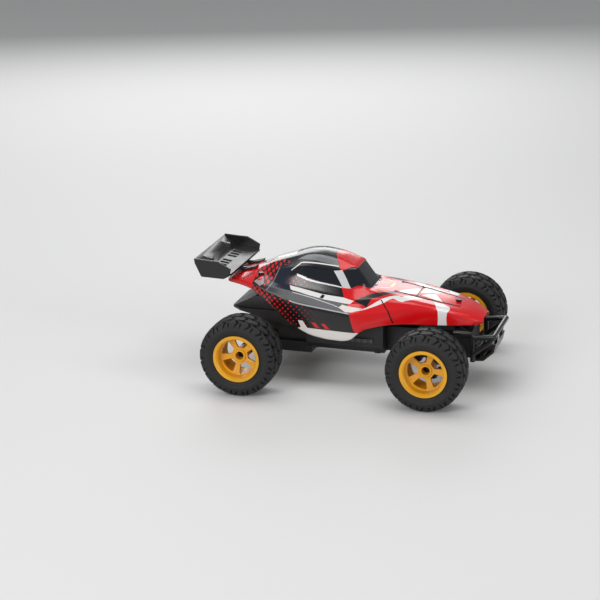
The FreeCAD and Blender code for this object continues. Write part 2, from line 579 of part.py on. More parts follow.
def gearbox():
    """Case with a gear bay on the left and a motor bay on the right, and its covers."""
    x0, x1, z0, z1 = case_box()
    half = CASE_HALF_WIDTH
    wall = CASE_WALL
    case = box(x0, x1, -half, half, z0, z1)
    gear_bay = box(x0 + wall, x1 - wall, motor_wall() + wall, half + 1, z0 + wall, z1 - wall)
    case = case.cut(gear_bay)
    divider = IDLER_X + 1.5
    pocket = box(x0 + wall, divider - wall, -half - 1, motor_wall(), z0 + wall, z1 - wall)
    rib = box(REAR_X - wall, REAR_X + wall, -half, motor_wall(), z0, z1)
    case = case.cut(pocket.cut(rib))
    case = case.cut(rod(MOTOR_R, (MOTOR_X, -half - 1, MOTOR_Z), (MOTOR_X, motor_wall(), MOTOR_Z)))
    case = case.cut(rod(BUSH_R, (MOTOR_X, motor_wall() - 1, MOTOR_Z), (MOTOR_X, half, MOTOR_Z)))
    case = case.cut(rod(AXLE_R + CLEAR, (REAR_X, -half, AXLE_Z), (REAR_X, half, AXLE_Z)))
    case = case.cut(rod(MOTOR_SHAFT_R, (IDLER_X, motor_wall(), IDLER_Z), (IDLER_X, half, IDLER_Z)))
    corner = 2.6
    spots = [(x0 + corner, z0 + corner), (x0 + corner, z1 - corner),
             (x1 - corner, z0 + corner), (x1 - corner, z1 - corner)]
    screws = []
    for x, z in spots:
        for side in (-1, 1):
            y_in = side * (half - 6)
            y_out = side * half
            boss = rod(SCREW_HEAD_R, (x, y_in, z), (x, y_out, z))
            case = case.fuse(boss.common(box(x0, x1, -half, half, z0, z1)))
    for x, z in spots:
        for side in (-1, 1):
            y_in = side * (half - 5)
            y_out = side * (half + COVER_THICK)
            case = case.cut(rod(SCREW_R, (x, y_in, z), (x, y_out, z)))
            head_end = side * (half + COVER_THICK + SCREW_HEAD)
            screws.append(fuse([rod(SCREW_R, (x, y_in, z), (x, y_out, z)),
                                rod(SCREW_HEAD_R, (x, y_out, z), (x, head_end, z))]))
    write("gearbox_case", case.removeSplitter())
    for name, side in (("gear_cover", 1), ("motor_cover", -1)):
        y_low, y_high = sorted((side * half, side * (half + COVER_THICK)))
        cover = box(x0, x1, y_low, y_high, z0, z1)
        end = side * axle_tube_end()
        root = side * (half + COVER_THICK)
        tube = rod(TUBE_R, (REAR_X, side * half, AXLE_Z), (REAR_X, end, AXLE_Z))
        tip = GUSSET_REACH * end
        gusset = slab([(REAR_X - 2 * TUBE_R, root), (REAR_X + 2 * TUBE_R, root),
                       (REAR_X + TUBE_R / 2, tip), (REAR_X - TUBE_R / 2, tip)],
                      AXLE_Z - COVER_THICK / 2, AXLE_Z + COVER_THICK / 2)
        cover = fuse([cover, tube, gusset])
        cover = cover.cut(rod(AXLE_R + CLEAR, (REAR_X, 0, AXLE_Z), (REAR_X, end, AXLE_Z)))
        seat = end - side * BUSH_LENGTH
        cover = cover.cut(rod(BUSH_R, (REAR_X, seat, AXLE_Z), (REAR_X, end, AXLE_Z)))
        for x, z in spots:
            cover = cover.cut(rod(SCREW_R, (x, y_low - 1, z), (x, y_high + 1, z)))
        if side > 0:
            cover = cover.cut(rod(MOTOR_SHAFT_R, (IDLER_X, 0, IDLER_Z),
                                  (IDLER_X, half + COVER_THICK / 2, IDLER_Z)))
        write(name, cover)
    write("gearbox_screws", screws)
    bushes = []
    for side in (-1, 1):
        outer = side * axle_tube_end()
        inner = outer - side * BUSH_LENGTH
        face = outer + side * BUSH_FLANGE
        bush = fuse([rod(BUSH_R, (REAR_X, inner, AXLE_Z), (REAR_X, outer, AXLE_Z)),
                     rod(BUSH_R + BUSH_FLANGE, (REAR_X, outer, AXLE_Z), (REAR_X, face, AXLE_Z))])
        bore = rod(AXLE_R + SHAFT_PLAY, (REAR_X, 0, AXLE_Z), (REAR_X, face, AXLE_Z))
        bushes.append(bush.cut(bore))
    write("axle_bushes", bushes)
    face = motor_wall()
    can = rod(MOTOR_R, (MOTOR_X, face - MOTOR_LENGTH, MOTOR_Z), (MOTOR_X, face, MOTOR_Z))
    nose = rod(BUSH_R, (MOTOR_X, face, MOTOR_Z), (MOTOR_X, face + CASE_WALL, MOTOR_Z))
    bore_in = SHAFT_START - CASE_HALF_WIDTH - 0.1
    bore = rod(MOTOR_SHAFT_R + SHAFT_PLAY, (MOTOR_X, bore_in, MOTOR_Z), (MOTOR_X, half, MOTOR_Z))
    write("drive_motor", fuse([can, nose]).cut(bore))


# ======================= chassis =======================

def tub_ends():
    """Rear and front faces of the wide part of the tub."""
    x0 = case_box()[1] + CLEAR
    return x0, x0 + TUB_LENGTH


def chassis():
    """The moulded tub: a wide well for the battery, a narrow nose for the steering and a
    rear tray that carries the gearbox."""
    x0, x1 = tub_ends()
    half = TUB_HALF_WIDTH
    low = TUB_FLOOR
    outline = [(-half, TUB_TOP), (-half, low + TUB_CHAMFER), (-half + TUB_CHAMFER, low),
               (half - TUB_CHAMFER, low), (half, low + TUB_CHAMFER), (half, TUB_TOP)]
    corners = [V(x0, y, z) for y, z in outline]
    well = Part.Face(Part.makePolygon(corners + corners[:1])).extrude(V(x1 - x0, 0, 0))
    wall = TUB_WALL
    side_y = half - wall
    foot_y = half - TUB_CHAMFER - wall / 2
    foot_z = low + TUB_CHAMFER + wall / 2
    inner = [(-side_y, TUB_TOP + 1), (-side_y, foot_z), (-foot_y, low + wall),
             (foot_y, low + wall), (side_y, foot_z), (side_y, TUB_TOP + 1)]
    corners = [V(x0 + wall, y, z) for y, z in inner]
    hollow = Part.Face(Part.makePolygon(corners + corners[:1]))
    hollow = hollow.extrude(V(x1 - x0 - 2 * wall, 0, 0))
    tub = well.cut(hollow)
    nose_end = FRONT_X + NOSE_AHEAD
    nose_half = NOSE_HALF_WIDTH
    nose = box(x1 - wall, nose_end, -nose_half, nose_half, low, NOSE_TOP)
    inner_half = nose_half - wall
    nose = nose.cut(box(x1, nose_end - wall, -inner_half, inner_half, low + wall, NOSE_TOP + 1))
    case_x0, case_x1, case_z0, _ = case_box()
    tray_top = case_z0
    tray_half = CASE_HALF_WIDTH + COVER_THICK + SCREW_HEAD + CLEAR
    tray = box(case_x0 - 3, x0 + wall, -tray_half - wall, tray_half + wall, tray_top - wall, tray_top)
    ribs = []
    for side in (-1, 1):
        y_low, y_high = sorted((side * tray_half, side * (tray_half + wall)))
        rib_top = AXLE_Z - TUBE_R - 1.4
        ribs.append(box(case_x0 - 3, x0 + wall, y_low, y_high, tray_top - wall, rib_top))
    back = box(x0, x0 + wall, -tray_half - wall, tray_half + wall, tray_top - wall, TUB_TOP)
    tub = fuse([tub, nose, tray, back] + ribs)
    slot = rack_slot()
    for side in (-1, 1):
        y = side * nose_half
        tub = tub.cut(box(slot[0], slot[1], y - 3, y + 3, slot[2], NOSE_TOP + 1))
    door = door_box()
    tub = tub.cut(box(door[0], door[1], -door[2], door[2], low - 1, low + wall + 1))
    for boss_x, boss_y, z_top in tower_screw_spots() + deck_screw_spots():
        post = rod(POST_R, (boss_x, boss_y, low), (boss_x, boss_y, z_top))
        tub = tub.fuse(post)
        tub = tub.cut(rod(SCREW_R, (boss_x, boss_y, z_top - 8), (boss_x, boss_y, z_top + 1)))
    catch_x = door[0] + DOOR_SCREW_IN
    tub = tub.fuse(rod(POST_R, (catch_x, 0, low + DOOR_THICK), (catch_x, 0, low + 8)))
    catch_top = low + 6.5
    tub = tub.fuse(box(door[0] - 1, catch_x, -POST_R, POST_R, low + DOOR_THICK + DOOR_GAP, catch_top))
    tub = tub.fuse(box(door[0] - 2, door[0] - 0.5, -door[2] - 2, door[2] + 2, low + wall / 2, catch_top))
    tub = tub.cut(rod(SCREW_R, (catch_x, 0, low), (catch_x, 0, low + 7)))
    for x, y, z in board_posts():
        tub = tub.fuse(rod(1.4, (x, y, low + wall / 2), (x, y, z)))
    for x, y in mount_holes():
        tub = tub.fuse(rod(POST_R, (x, y, low), (x, y, low + MOUNT_DEPTH + wall)))
        tub = tub.cut(rod(MOUNT_HOLE_R, (x, y, low - 1), (x, y, low + MOUNT_DEPTH)))
    knob = switch_spot()
    tub = tub.cut(box(knob[0] - SLOT_HALF, knob[0] + SLOT_HALF, knob[1] - KNOB_HALF - CLEAR,
                      knob[1] + KNOB_HALF + CLEAR, low - 1, low + wall + 1))
    for leg_x in (FRONT_X - ARM_SPREAD, FRONT_X + ARM_SPREAD):
        for side in (-1, 1):
            y_in = side * (nose_half - wall - 4)
            z = low + ARM_SCREW_UP
            boss = rod(ARM_SCREW_UP, (leg_x, y_in, z), (leg_x, side * nose_half, z))
            tub = tub.fuse(boss.common(box(x1, nose_end, -nose_half, nose_half, low, NOSE_TOP)))
            tub = tub.cut(rod(SCREW_R, (leg_x, y_in, z), (leg_x, side * (nose_half + 1), z)))
    write("chassis_tub", tub.removeSplitter())


def mount_holes():
    """Blind holes in the underside that take the packing screws."""
    x0, _ = tub_ends()
    return [tower_screw_spots()[1][:2], (x0 + POST_INSET, 0.0)]


def switch_spot():
    """Middle of the power switch in the tub's floor."""
    _, x1 = tub_ends()
    return x1 - 21.0, TUB_HALF_WIDTH - TUB_CHAMFER - 4.5


def door_box():
    """The battery opening in the floor: rear, front and half width."""
    x0, _ = tub_ends()
    start = x0 + 9.5
    half = BATTERY_R * BATTERY_CELLS / 2 + 2.2
    return start, start + BATTERY_LENGTH + DOOR_SCREW_IN + POST_R + 2.0, half


def tower_screw_spots():
    """Posts that carry the front tower: place and top."""
    rear = TIE_X + RACK_WIDTH / 2 + CLEAR + POST_R + TIE_PIN_R + 2 * CLEAR
    front = FRONT_X + NOSE_AHEAD - POST_R - TUB_WALL / 2
    return [(rear, 0.0, NOSE_TOP), (front, 0.0, NOSE_TOP)]


def deck_screw_spots():
    """Posts that carry the top deck over the well."""
    x0, x1 = tub_ends()
    inset_y = TUB_HALF_WIDTH - TUB_CHAMFER - 1.0
    return [(x, side * inset_y, TUB_TOP) for x in (x0 + POST_INSET, x1 - POST_INSET)
            for side in (-1, 1)]


def rack_slot():
    """The notch in the nose walls that the steering rack slides in: x, x, bottom."""
    half = RACK_WIDTH / 2 + CLEAR
    return TIE_X - half, TIE_X + half, rack_low() - CLEAR


def rack_low():
    """Underside of the steering rack."""
    return AXLE_Z + 0.2


def battery_axis_z():
    """Height of the cells' middle, just above the door."""
    return TUB_FLOOR + TUB_WALL + 1.2 + 2 * DOOR_GAP + BATTERY_R


def board_posts():
    """Posts that hold the circuit board over the cells: place and top."""
    rear, front = tub_ends()
    top = battery_axis_z() + BATTERY_R + 1.2
    side = BATTERY_R * BATTERY_CELLS + BOARD_CLEAR
    xs = (rear + 9 + POST_R, front - 9 - POST_R)
    return [(x, y, top) for x in xs for y in (-side, side)]


def underside():
    """Battery, its door, the switch and the circuit board."""
    low = TUB_FLOOR
    x0, x1, half = door_box()
    gap = DOOR_GAP
    door = box(x0 + gap, x1 - gap, -half + gap, half - gap, low, low + DOOR_THICK)
    screw_x = x0 + DOOR_SCREW_IN
    flange = box(x1 - gap - 1, x1 + 3, -4, 4, low + TUB_WALL + gap, low + TUB_WALL + gap + 1.2)
    link = box(x1 - gap - 3, x1 - gap, -4, 4, low + DOOR_THICK - 0.2, low + TUB_WALL + gap + 1.2)
    door = fuse([door, flange, link])
    door = door.cut(rod(SCREW_R + SHAFT_PLAY, (screw_x, 0, low - 1), (screw_x, 0, low + 4)))
    write("battery_door", door)
    head = rod(SCREW_HEAD_R, (screw_x, 0, low - 1.0), (screw_x, 0, low))
    write("battery_door_screw", fuse([head, rod(SCREW_R, (screw_x, 0, low), (screw_x, 0, low + 6.0))]))
    cells = []
    start = screw_x + POST_R + 2 * CLEAR
    stop = start + BATTERY_LENGTH
    z = battery_axis_z()
    for i in range(BATTERY_CELLS):
        y = (i - (BATTERY_CELLS - 1) / 2) * 2 * BATTERY_R
        cells.append(rod(BATTERY_R, (start, y, z), (stop, y, z)))
        cells.append(rod(BATTERY_R * 0.38, (stop, y, z), (stop + 1.2, y, z)))
    wide = BATTERY_R * 0.6
    high = BATTERY_R * 0.8
    wrap = box(start, stop, -wide, wide, z - high, z + high)
    write("battery_pack", fuse(cells + [wrap]))
    rear, front = tub_ends()
    posts = board_posts()
    board_z = posts[0][2]
    edge = BOARD_EDGE
    face_z = board_z + BOARD_THICK
    board = box(posts[0][0] - edge, posts[-1][0] + edge, posts[0][1] - edge, posts[-1][1] + edge,
                board_z, face_z)
    chips = [box(rear + 16, rear + 24, -8, 0, face_z, face_z + 1.2),
             box(rear + 29, rear + 34, 3, 8, face_z, face_z + 2.2),
             box(front - 22, front - 17, -9, -4, face_z, face_z + 1.6)]
    write("circuit_board", fuse([board] + chips))
    x, y = switch_spot()
    frame = box(x - 6, x + 6, y - 3.2, y + 3.2, low + TUB_WALL, low + TUB_WALL + 4.5)
    wide = KNOB_HALF + CLEAR
    frame = frame.cut(box(x - SLOT_HALF, x + SLOT_HALF, y - wide, y + wide, low, low + TUB_WALL + 3))
    write("power_switch", frame)
    x_low = x - SLOT_HALF + CLEAR
    x_high = x + SLOT_HALF - CLEAR - SWITCH_TRAVEL
    y_low = y - KNOB_HALF
    y_high = y + KNOB_HALF
    knob = box(x_low, x_high, y_low, y_high, low + 0.3, low + TUB_WALL + 2.6)
    grip = box(x_low + 1.2, x_high - 2.4, y_low, y_high, low - 0.7, low + 1)
    write("switch_slider", fuse([knob, grip]))


def top_deck():
    """The lid over the well, screwed to four posts, and the light strips on its sides."""
    x0, x1 = tub_ends()
    half = TUB_HALF_WIDTH
    deck = box(x0, x1, -half, half, TUB_TOP, TUB_TOP + DECK_THICK)
    deck_z = TUB_TOP + DECK_THICK
    rim_in = RAISED_INSET
    raised = box(x0 + rim_in, x1 - rim_in, -half + rim_in, half - rim_in, deck_z, deck_z + 4)
    deck = fuse([deck, raised])
    rim_in = RAISED_INSET + 2.0
    deck = deck.cut(box(x0 + rim_in, x1 - rim_in, -half + rim_in, half - rim_in, TUB_TOP - 1, deck_z + 2.4))
    screws = []
    for x, y, z in deck_screw_spots():
        deck = deck.cut(rod(SCREW_R, (x, y, TUB_TOP - 1), (x, y, TUB_TOP + 5)))
        screws.append(pan_screw(x, y, TUB_TOP + DECK_THICK, SCREW_INTO))
    write("chassis_cover", deck)
    write("chassis_cover_screws", screws)
    low = TUB_FLOOR + TUB_CHAMFER + 4
    strip = box(x0 + 8, x1 - 8, half, half + STRIP_DEEP, low, low + STRIP_TALL)
    write("light_strip_left", strip)
    write("light_strip_right", mirrored(strip))


def rear_tower():
    """The moulded cover over the gearbox. Its shelf and block carry two shell posts."""
    x0, x1, _, z1 = case_box()
    shelf_z = z1 + CLEAR
    half = CASE_HALF_WIDTH + TOWER_BESIDE
    back = REAR_X - TOWER_BEHIND
    front = tub_ends()[0] + POST_INSET - SCREW_HEAD_R - CLEAR
    shelf = slab([(back, -half + 8), (back, half - 8), (back + 8, half), (front, half),
                  (front, -half), (back + 8, -half)], shelf_z, shelf_z + 2.0)
    block_top = shelf_z + TOWER_TALL
    block_half = half - 5
    wall = TOWER_WALL
    profile = [(back + 1, shelf_z + 2), (back + 19, block_top), (front - 1, block_top),
               (front - 1, shelf_z + 2)]
    block = prism(profile, -block_half, block_half)
    hollow = [(back + 5, shelf_z - 1), (back + 20, block_top - wall),
              (front - 1 - wall, block_top - wall), (front - 1 - wall, shelf_z - 1)]
    tower = fuse([shelf, block]).cut(prism(hollow, -block_half + wall, block_half - wall))
    fins = []
    for side in (-1, 1):
        y_low, y_high = sorted((side * (half - wall), side * half))
        fins.append(prism([(back + 8, shelf_z), (front, shelf_z), (front, shelf_z - 9),
                           (REAR_X + 22, shelf_z - 9)], y_low, y_high))
    tower = fuse([tower] + fins)
    tower = tower.cut(box(tub_ends()[0] - CLEAR, front + 1, -TUB_HALF_WIDTH - 1, TUB_HALF_WIDTH + 1,
                          shelf_z - 10, TUB_TOP + DECK_THICK))
    posts = []
    for x, y in shell_posts()[1:]:
        top = shell_underside(x, y)
        posts.append(rod(POST_R, (x, y, block_top - wall), (x, y, top)))
    tower = fuse([tower] + posts)
    for x, y in shell_posts()[1:]:
        top = shell_underside(x, y)
        tower = tower.cut(rod(SCREW_R, (x, y, top - 9), (x, y, top + 1)))
    write("rear_tower", tower)


def front_tower():
    """The lid over the steering, with the post that carries the shell's nose."""
    x0 = tub_ends()[1] + CLEAR
    x1 = FRONT_X + NOSE_AHEAD
    half = NOSE_HALF_WIDTH
    lid = box(x0, x1, -half, half, NOSE_TOP, NOSE_TOP + 2)
    hump = prism([(FRONT_X - 22, NOSE_TOP + 2), (FRONT_X - 16, NOSE_TOP + 6), (x1 - 8, NOSE_TOP + 6),
                  (x1 - 1, NOSE_TOP + 2)], -half + 3, half - 3)
    x, y = shell_posts()[0]
    top = shell_underside(x, y)
    post = rod(POST_R, (x, y, NOSE_TOP + 4), (x, y, top))
    web = prism([(x - 9, NOSE_TOP + 5), (x - 2, top - 4), (x + 2, top - 4), (x + 7, NOSE_TOP + 5)], -1, 1)
    tower = fuse([lid, hump, post, web])
    screws = []
    for sx, sy, z in tower_screw_spots():
        tower = tower.cut(rod(SCREW_HEAD_R + CLEAR, (sx, sy, NOSE_TOP + 2), (sx, sy, NOSE_TOP + 9)))
        tower = tower.cut(rod(SCREW_R, (sx, sy, NOSE_TOP - 1), (sx, sy, NOSE_TOP + 3)))
        screws.append(pan_screw(sx, sy, NOSE_TOP + 2, SCREW_INTO))
    tower = tower.cut(rod(SCREW_R, (x, y, top - 9), (x, y, top + 1)))
    write("front_tower", tower)
    write("front_tower_screws", screws)


def shell_screws():
    """The three screws that hold the shell down."""
    screws = []
    for x, y in shell_posts():
        seat = shell_height(x, y) - 0.3
        screws.append(pan_screw(x, y, seat, 7.5))
    write("shell_screws", screws)


# ======================= front axle =======================

def lower_arm():
    """A wishbone from the nose's side to the kingpin, left side."""
    z1 = AXLE_Z - ARM_HEIGHT
    z0 = z1 - ARM_THICK
    inner = NOSE_HALF_WIDTH
    pieces = [rod(ARM_EYE_R, (FRONT_X, KINGPIN_Y, z0), (FRONT_X, KINGPIN_Y, z1))]
    for side in (-1, 1):
        foot = FRONT_X + side * ARM_SPREAD
        pieces.append(slab([(foot - 3, inner), (foot + 3, inner), (FRONT_X + 2.6, KINGPIN_Y),
                            (FRONT_X - 2.6, KINGPIN_Y)], z0, z1))
    pieces.append(box(FRONT_X - ARM_SPREAD, FRONT_X + ARM_SPREAD, inner + 8, inner + 11, z0, z1))
    for side in (-1, 1):
        foot = FRONT_X + side * ARM_SPREAD
        pieces.append(box(foot - 3, foot + 3, inner, inner + ARM_FOOT, z0, TUB_FLOOR + 2 * ARM_SCREW_UP))
    arm = fuse(pieces)
    for side in (-1, 1):
        foot = FRONT_X + side * ARM_SPREAD
        z = TUB_FLOOR + ARM_SCREW_UP
        arm = arm.cut(rod(SCREW_R, (foot, inner - 1, z), (foot, inner + 4, z)))
    return arm.cut(rod(KINGPIN_R, (FRONT_X, KINGPIN_Y, z0 - 1), (FRONT_X, KINGPIN_Y, z1 + 1)))


def upper_arm():
    """A straight link from the front tower's side to the kingpin, left side."""
    z0 = AXLE_Z + ARM_HEIGHT
    z1 = z0 + ARM_THICK
    inner = NOSE_HALF_WIDTH
    pieces = [rod(ARM_EYE_R, (FRONT_X, KINGPIN_Y, z0), (FRONT_X, KINGPIN_Y, z1)),
              slab([(FRONT_X - 6, inner), (FRONT_X + 6, inner), (FRONT_X + 2.4, KINGPIN_Y),
                    (FRONT_X - 2.4, KINGPIN_Y)], z0, z1),
              box(FRONT_X - 6, FRONT_X + 6, inner, inner + 2.0, NOSE_TOP - 7, z1)]
    arm = fuse(pieces)
    return arm.cut(rod(KINGPIN_R, (FRONT_X, KINGPIN_Y, z0 - 1), (FRONT_X, KINGPIN_Y, z1 + 1)))


def knuckle():
    """The steering knuckle, left side: kingpin barrel, axle boss and steering arm."""
    z0 = AXLE_Z - ARM_HEIGHT + CLEAR
    z1 = AXLE_Z + ARM_HEIGHT - CLEAR
    boss_end = FRONT_HALF_TRACK - BOSS_IN - HUB_GAP
    pieces = [rod(3.2, (FRONT_X, KINGPIN_Y, z0), (FRONT_X, KINGPIN_Y, z1)),
              rod(4.2, (FRONT_X, KINGPIN_Y, AXLE_Z), (FRONT_X, boss_end, AXLE_Z))]
    arm_z = rack_low() + RACK_THICK + CLEAR
    pieces.append(box(TIE_X - 2.4, FRONT_X, KINGPIN_Y - 2.2, KINGPIN_Y + 2.2, arm_z, arm_z + 2.6))
    body = fuse(pieces)
    pin_r = KINGPIN_R + SHAFT_PLAY
    body = body.cut(rod(pin_r, (FRONT_X, KINGPIN_Y, z0 - 1), (FRONT_X, KINGPIN_Y, z1 + 1)))
    start = KINGPIN_Y + STUB_START
    body = body.cut(rod(AXLE_R, (FRONT_X, start, AXLE_Z), (FRONT_X, boss_end + 1, AXLE_Z)))
    pin = rod(TIE_PIN_R, (TIE_X, KINGPIN_Y, rack_low()), (TIE_X, KINGPIN_Y, arm_z))
    return fuse([body, pin])


def stub_axle():
    """The steel stub a front wheel turns on, left side, tapped for the wheel screw."""
    start = KINGPIN_Y + STUB_START
    end = FRONT_HALF_TRACK + SCREW_POCKET_FLOOR + SCREW_LIFT
    stub = rod(AXLE_R, (FRONT_X, start, AXLE_Z), (FRONT_X, end, AXLE_Z))
    deep = FRONT_HALF_TRACK + SCREW_POCKET_FLOOR - WHEEL_SCREW_LENGTH - 0.5
    return stub.cut(rod(WHEEL_SCREW_R + SHAFT_PLAY, (FRONT_X, deep, AXLE_Z), (FRONT_X, end + 1, AXLE_Z)))


def front_axle():
    """Arms, kingpins, knuckles and stub axles of both sides."""
    pin_low = AXLE_Z - ARM_HEIGHT - ARM_THICK
    pin_high = AXLE_Z + ARM_HEIGHT + ARM_THICK
    pin = fuse([rod(KINGPIN_R, (FRONT_X, KINGPIN_Y, pin_low), (FRONT_X, KINGPIN_Y, pin_high)),
                rod(KINGPIN_R + 1.1, (FRONT_X, KINGPIN_Y, pin_high), (FRONT_X, KINGPIN_Y, pin_high + 1.3))])
    pieces = {"front_lower_arm": lower_arm(), "front_upper_arm": upper_arm(), "kingpin": pin,
              "steering_knuckle": knuckle(), "stub_axle": stub_axle()}
    for name, left in pieces.items():
        write(name + "_left", left)
        write(name + "_right", mirrored(left))
    inner = NOSE_HALF_WIDTH + ARM_FOOT
    screws = []
    for side in (-1, 1):
        foot = FRONT_X + side * ARM_SPREAD
        z = TUB_FLOOR + ARM_SCREW_UP
        screw = fuse([rod(SCREW_R, (foot, inner - 5.5, z), (foot, inner, z)),
                      rod(SCREW_HEAD_R, (foot, inner, z), (foot, inner + SCREW_HEAD, z))])
        screws += [screw, mirrored(screw)]
    write("front_arm_screws", screws)


def steering():
    """The sliding rack, the servo and its horn."""
    z0 = rack_low()
    z1 = z0 + RACK_THICK
    reach = KINGPIN_Y + TIE_PIN_R + SLOT_PLAY + RACK_END_WALL
    half = RACK_WIDTH / 2
    rack = box(TIE_X - half, TIE_X + half, -reach, reach, z0, z1)
    wide = TIE_PIN_R + SLOT_PLAY
    swing = STEER_ARM * (1 - math.cos(math.radians(STEER_LOCK)))
    for y in (-KINGPIN_Y, KINGPIN_Y):
        rack = rack.cut(box(TIE_X - wide, TIE_X + wide + swing, y - wide, y + wide, z0 - 1, z1 + 1))
    throw = STEER_ARM * math.sin(math.radians(STEER_LOCK))
    horn_swing = 1.1 * (HORN_ARM - math.sqrt(HORN_ARM ** 2 - throw ** 2))
    rack = rack.cut(box(TIE_X - wide - horn_swing, TIE_X + wide, -wide, wide, z0 - 1, z1 + 1))
    write("steering_rack", rack)
    horn_z = z1 + CLEAR
    horn = fuse([rod(3.2, (HORN_X, 0, horn_z), (HORN_X, 0, horn_z + 2.2)),
                 slab([(HORN_X, -2.8), (TIE_X + 1.8, -1.9), (TIE_X + 1.8, 1.9), (HORN_X, 2.8)],
                      horn_z, horn_z + 2.2),
                 rod(TIE_PIN_R, (TIE_X, 0, z0), (TIE_X, 0, horn_z + 1))])
    horn = horn.cut(rod(1.6 + SHAFT_PLAY, (HORN_X, 0, horn_z - 1), (HORN_X, 0, horn_z + 3)))
    write("servo_horn", horn)
    servo_x0 = tub_ends()[1] + CLEAR + 0.6
    servo_x1 = rack_slot()[0] - CLEAR
    floor = TUB_FLOOR + TUB_WALL
    servo = box(servo_x0, servo_x1, -11, 11, floor, z1 - 1.2)
    servo = fuse([servo, rod(4.2, (HORN_X, 0, floor), (HORN_X, 0, horn_z - CLEAR)).common(
        box(servo_x0, servo_x1, -11, 11, floor, horn_z)),
        rod(1.6, (HORN_X, 0, z1 - 2), (HORN_X, 0, horn_z + 2.2))])
    write("steering_servo", servo)


# ======================= wing and bumper =======================

def wing_line():
    """Top line of the wing's plane from its trailing edge forwards."""
    back = -LENGTH / 2
    top = WING_TOP
    return [(back, top - 0.4), (back + 9, top - 5.2), (back + 12, top - 8.2), (back + 20, top - 9.4),
            (back + WING_CHORD, top - 10.6)]


def wing():
    """The rear wing: a stepped plane with slots, its end plates and struts."""
    back = -LENGTH / 2
    top = WING_TOP
    span = WING_HALF_SPAN - PLATE_THICK
    skin = WING_SKIN
    line = wing_line()
    under = [(x, z - skin) for x, z in reversed(line)]
    plane = prism(line + under, -span, span)
    for i in range(-3, 4):
        if i:
            y = i * 6.2
            plane = plane.cut(box(back + 13.5, back + 20.5, y - 1.9, y + 1.9, top - 14, top))
    rib = prism([(back + 1.5, top - 1.4), (back + 9, top - 5.2), (back + 12, top - 8.2),
                 (back + 10, top - 3.4)], -2, 2)
    plane = fuse([plane] + [moved(rib, 0, y, 0) for y in (-22, 22)])
    write("rear_wing", plane)
    outline = [(back, top), (back + 19.7, top - 0.9), (back + WING_CHORD, top - 6.6),
               (back + WING_CHORD - 1.2, top - 12.4), (back + WING_CHORD - 6, top - 15),
               (back + 6, top - 14.5), (back + 0.8, top - 4)]
    plate = prism(outline, span, WING_HALF_SPAN)
    write("wing_end_plates", [plate, mirrored(plate)])
    (roof_back_x, roof_back_z), (roof_x, roof_z) = wing_line()[-2:]
    struts = []
    for side in (-1, 1):
        y = side * STRUT_Y
        far_x = back + 43
        far_z = shell_height(far_x, y)
        near_x = back + 31
        near_z = shell_height(near_x, y)
        blade = prism([(near_x, near_z), (far_x, far_z), (roof_x, roof_z - skin),
                       (roof_back_x, roof_back_z - skin)], y - STRUT_THICK / 2, y + STRUT_THICK / 2)
        foot_half = 3.4
        foot = prism([(near_x, near_z), (far_x, far_z), (far_x, far_z + 1.6), (near_x, near_z + 1.6)],
                     y - foot_half, y + foot_half)
        strut = fuse([blade, foot])
        outside = section_solid(near_x - 2, far_x + 2)
        struts.append(strut.cut(outside))
    write("wing_struts", struts)


def section_solid(x0, x1):
    """The solid volume inside the shell's outside between two places."""
    return Part.makeLoft([section(x, layout_x(x), 0) for x in (x0, x1)], True, True)


def tube_path(points, radius, bend):
    """A round tube along straight runs with rounded corners."""
    pts = [V(*p) for p in points]
    edges = []
    here = pts[0]
    for i in range(1, len(pts) - 1):
        before = (pts[i - 1] - pts[i]).normalize()
        after = (pts[i + 1] - pts[i]).normalize()
        angle = before.getAngle(after)
        back = bend / math.tan(angle / 2)
        start = pts[i] + before * back
        end = pts[i] + after * back
        middle_way = (before + after).normalize()
        middle = pts[i] + middle_way * (bend / math.sin(angle / 2) - bend)
        edges.append(Part.makeLine(here, start))
        edges.append(Part.Arc(start, middle, end).toShape())
        here = end
    edges.append(Part.makeLine(here, pts[-1]))
    wire = Part.Wire(edges)
    circle = Part.Wire(Part.makeCircle(radius, pts[0], pts[1] - pts[0]))
    return wire.makePipeShell([circle], True, True)


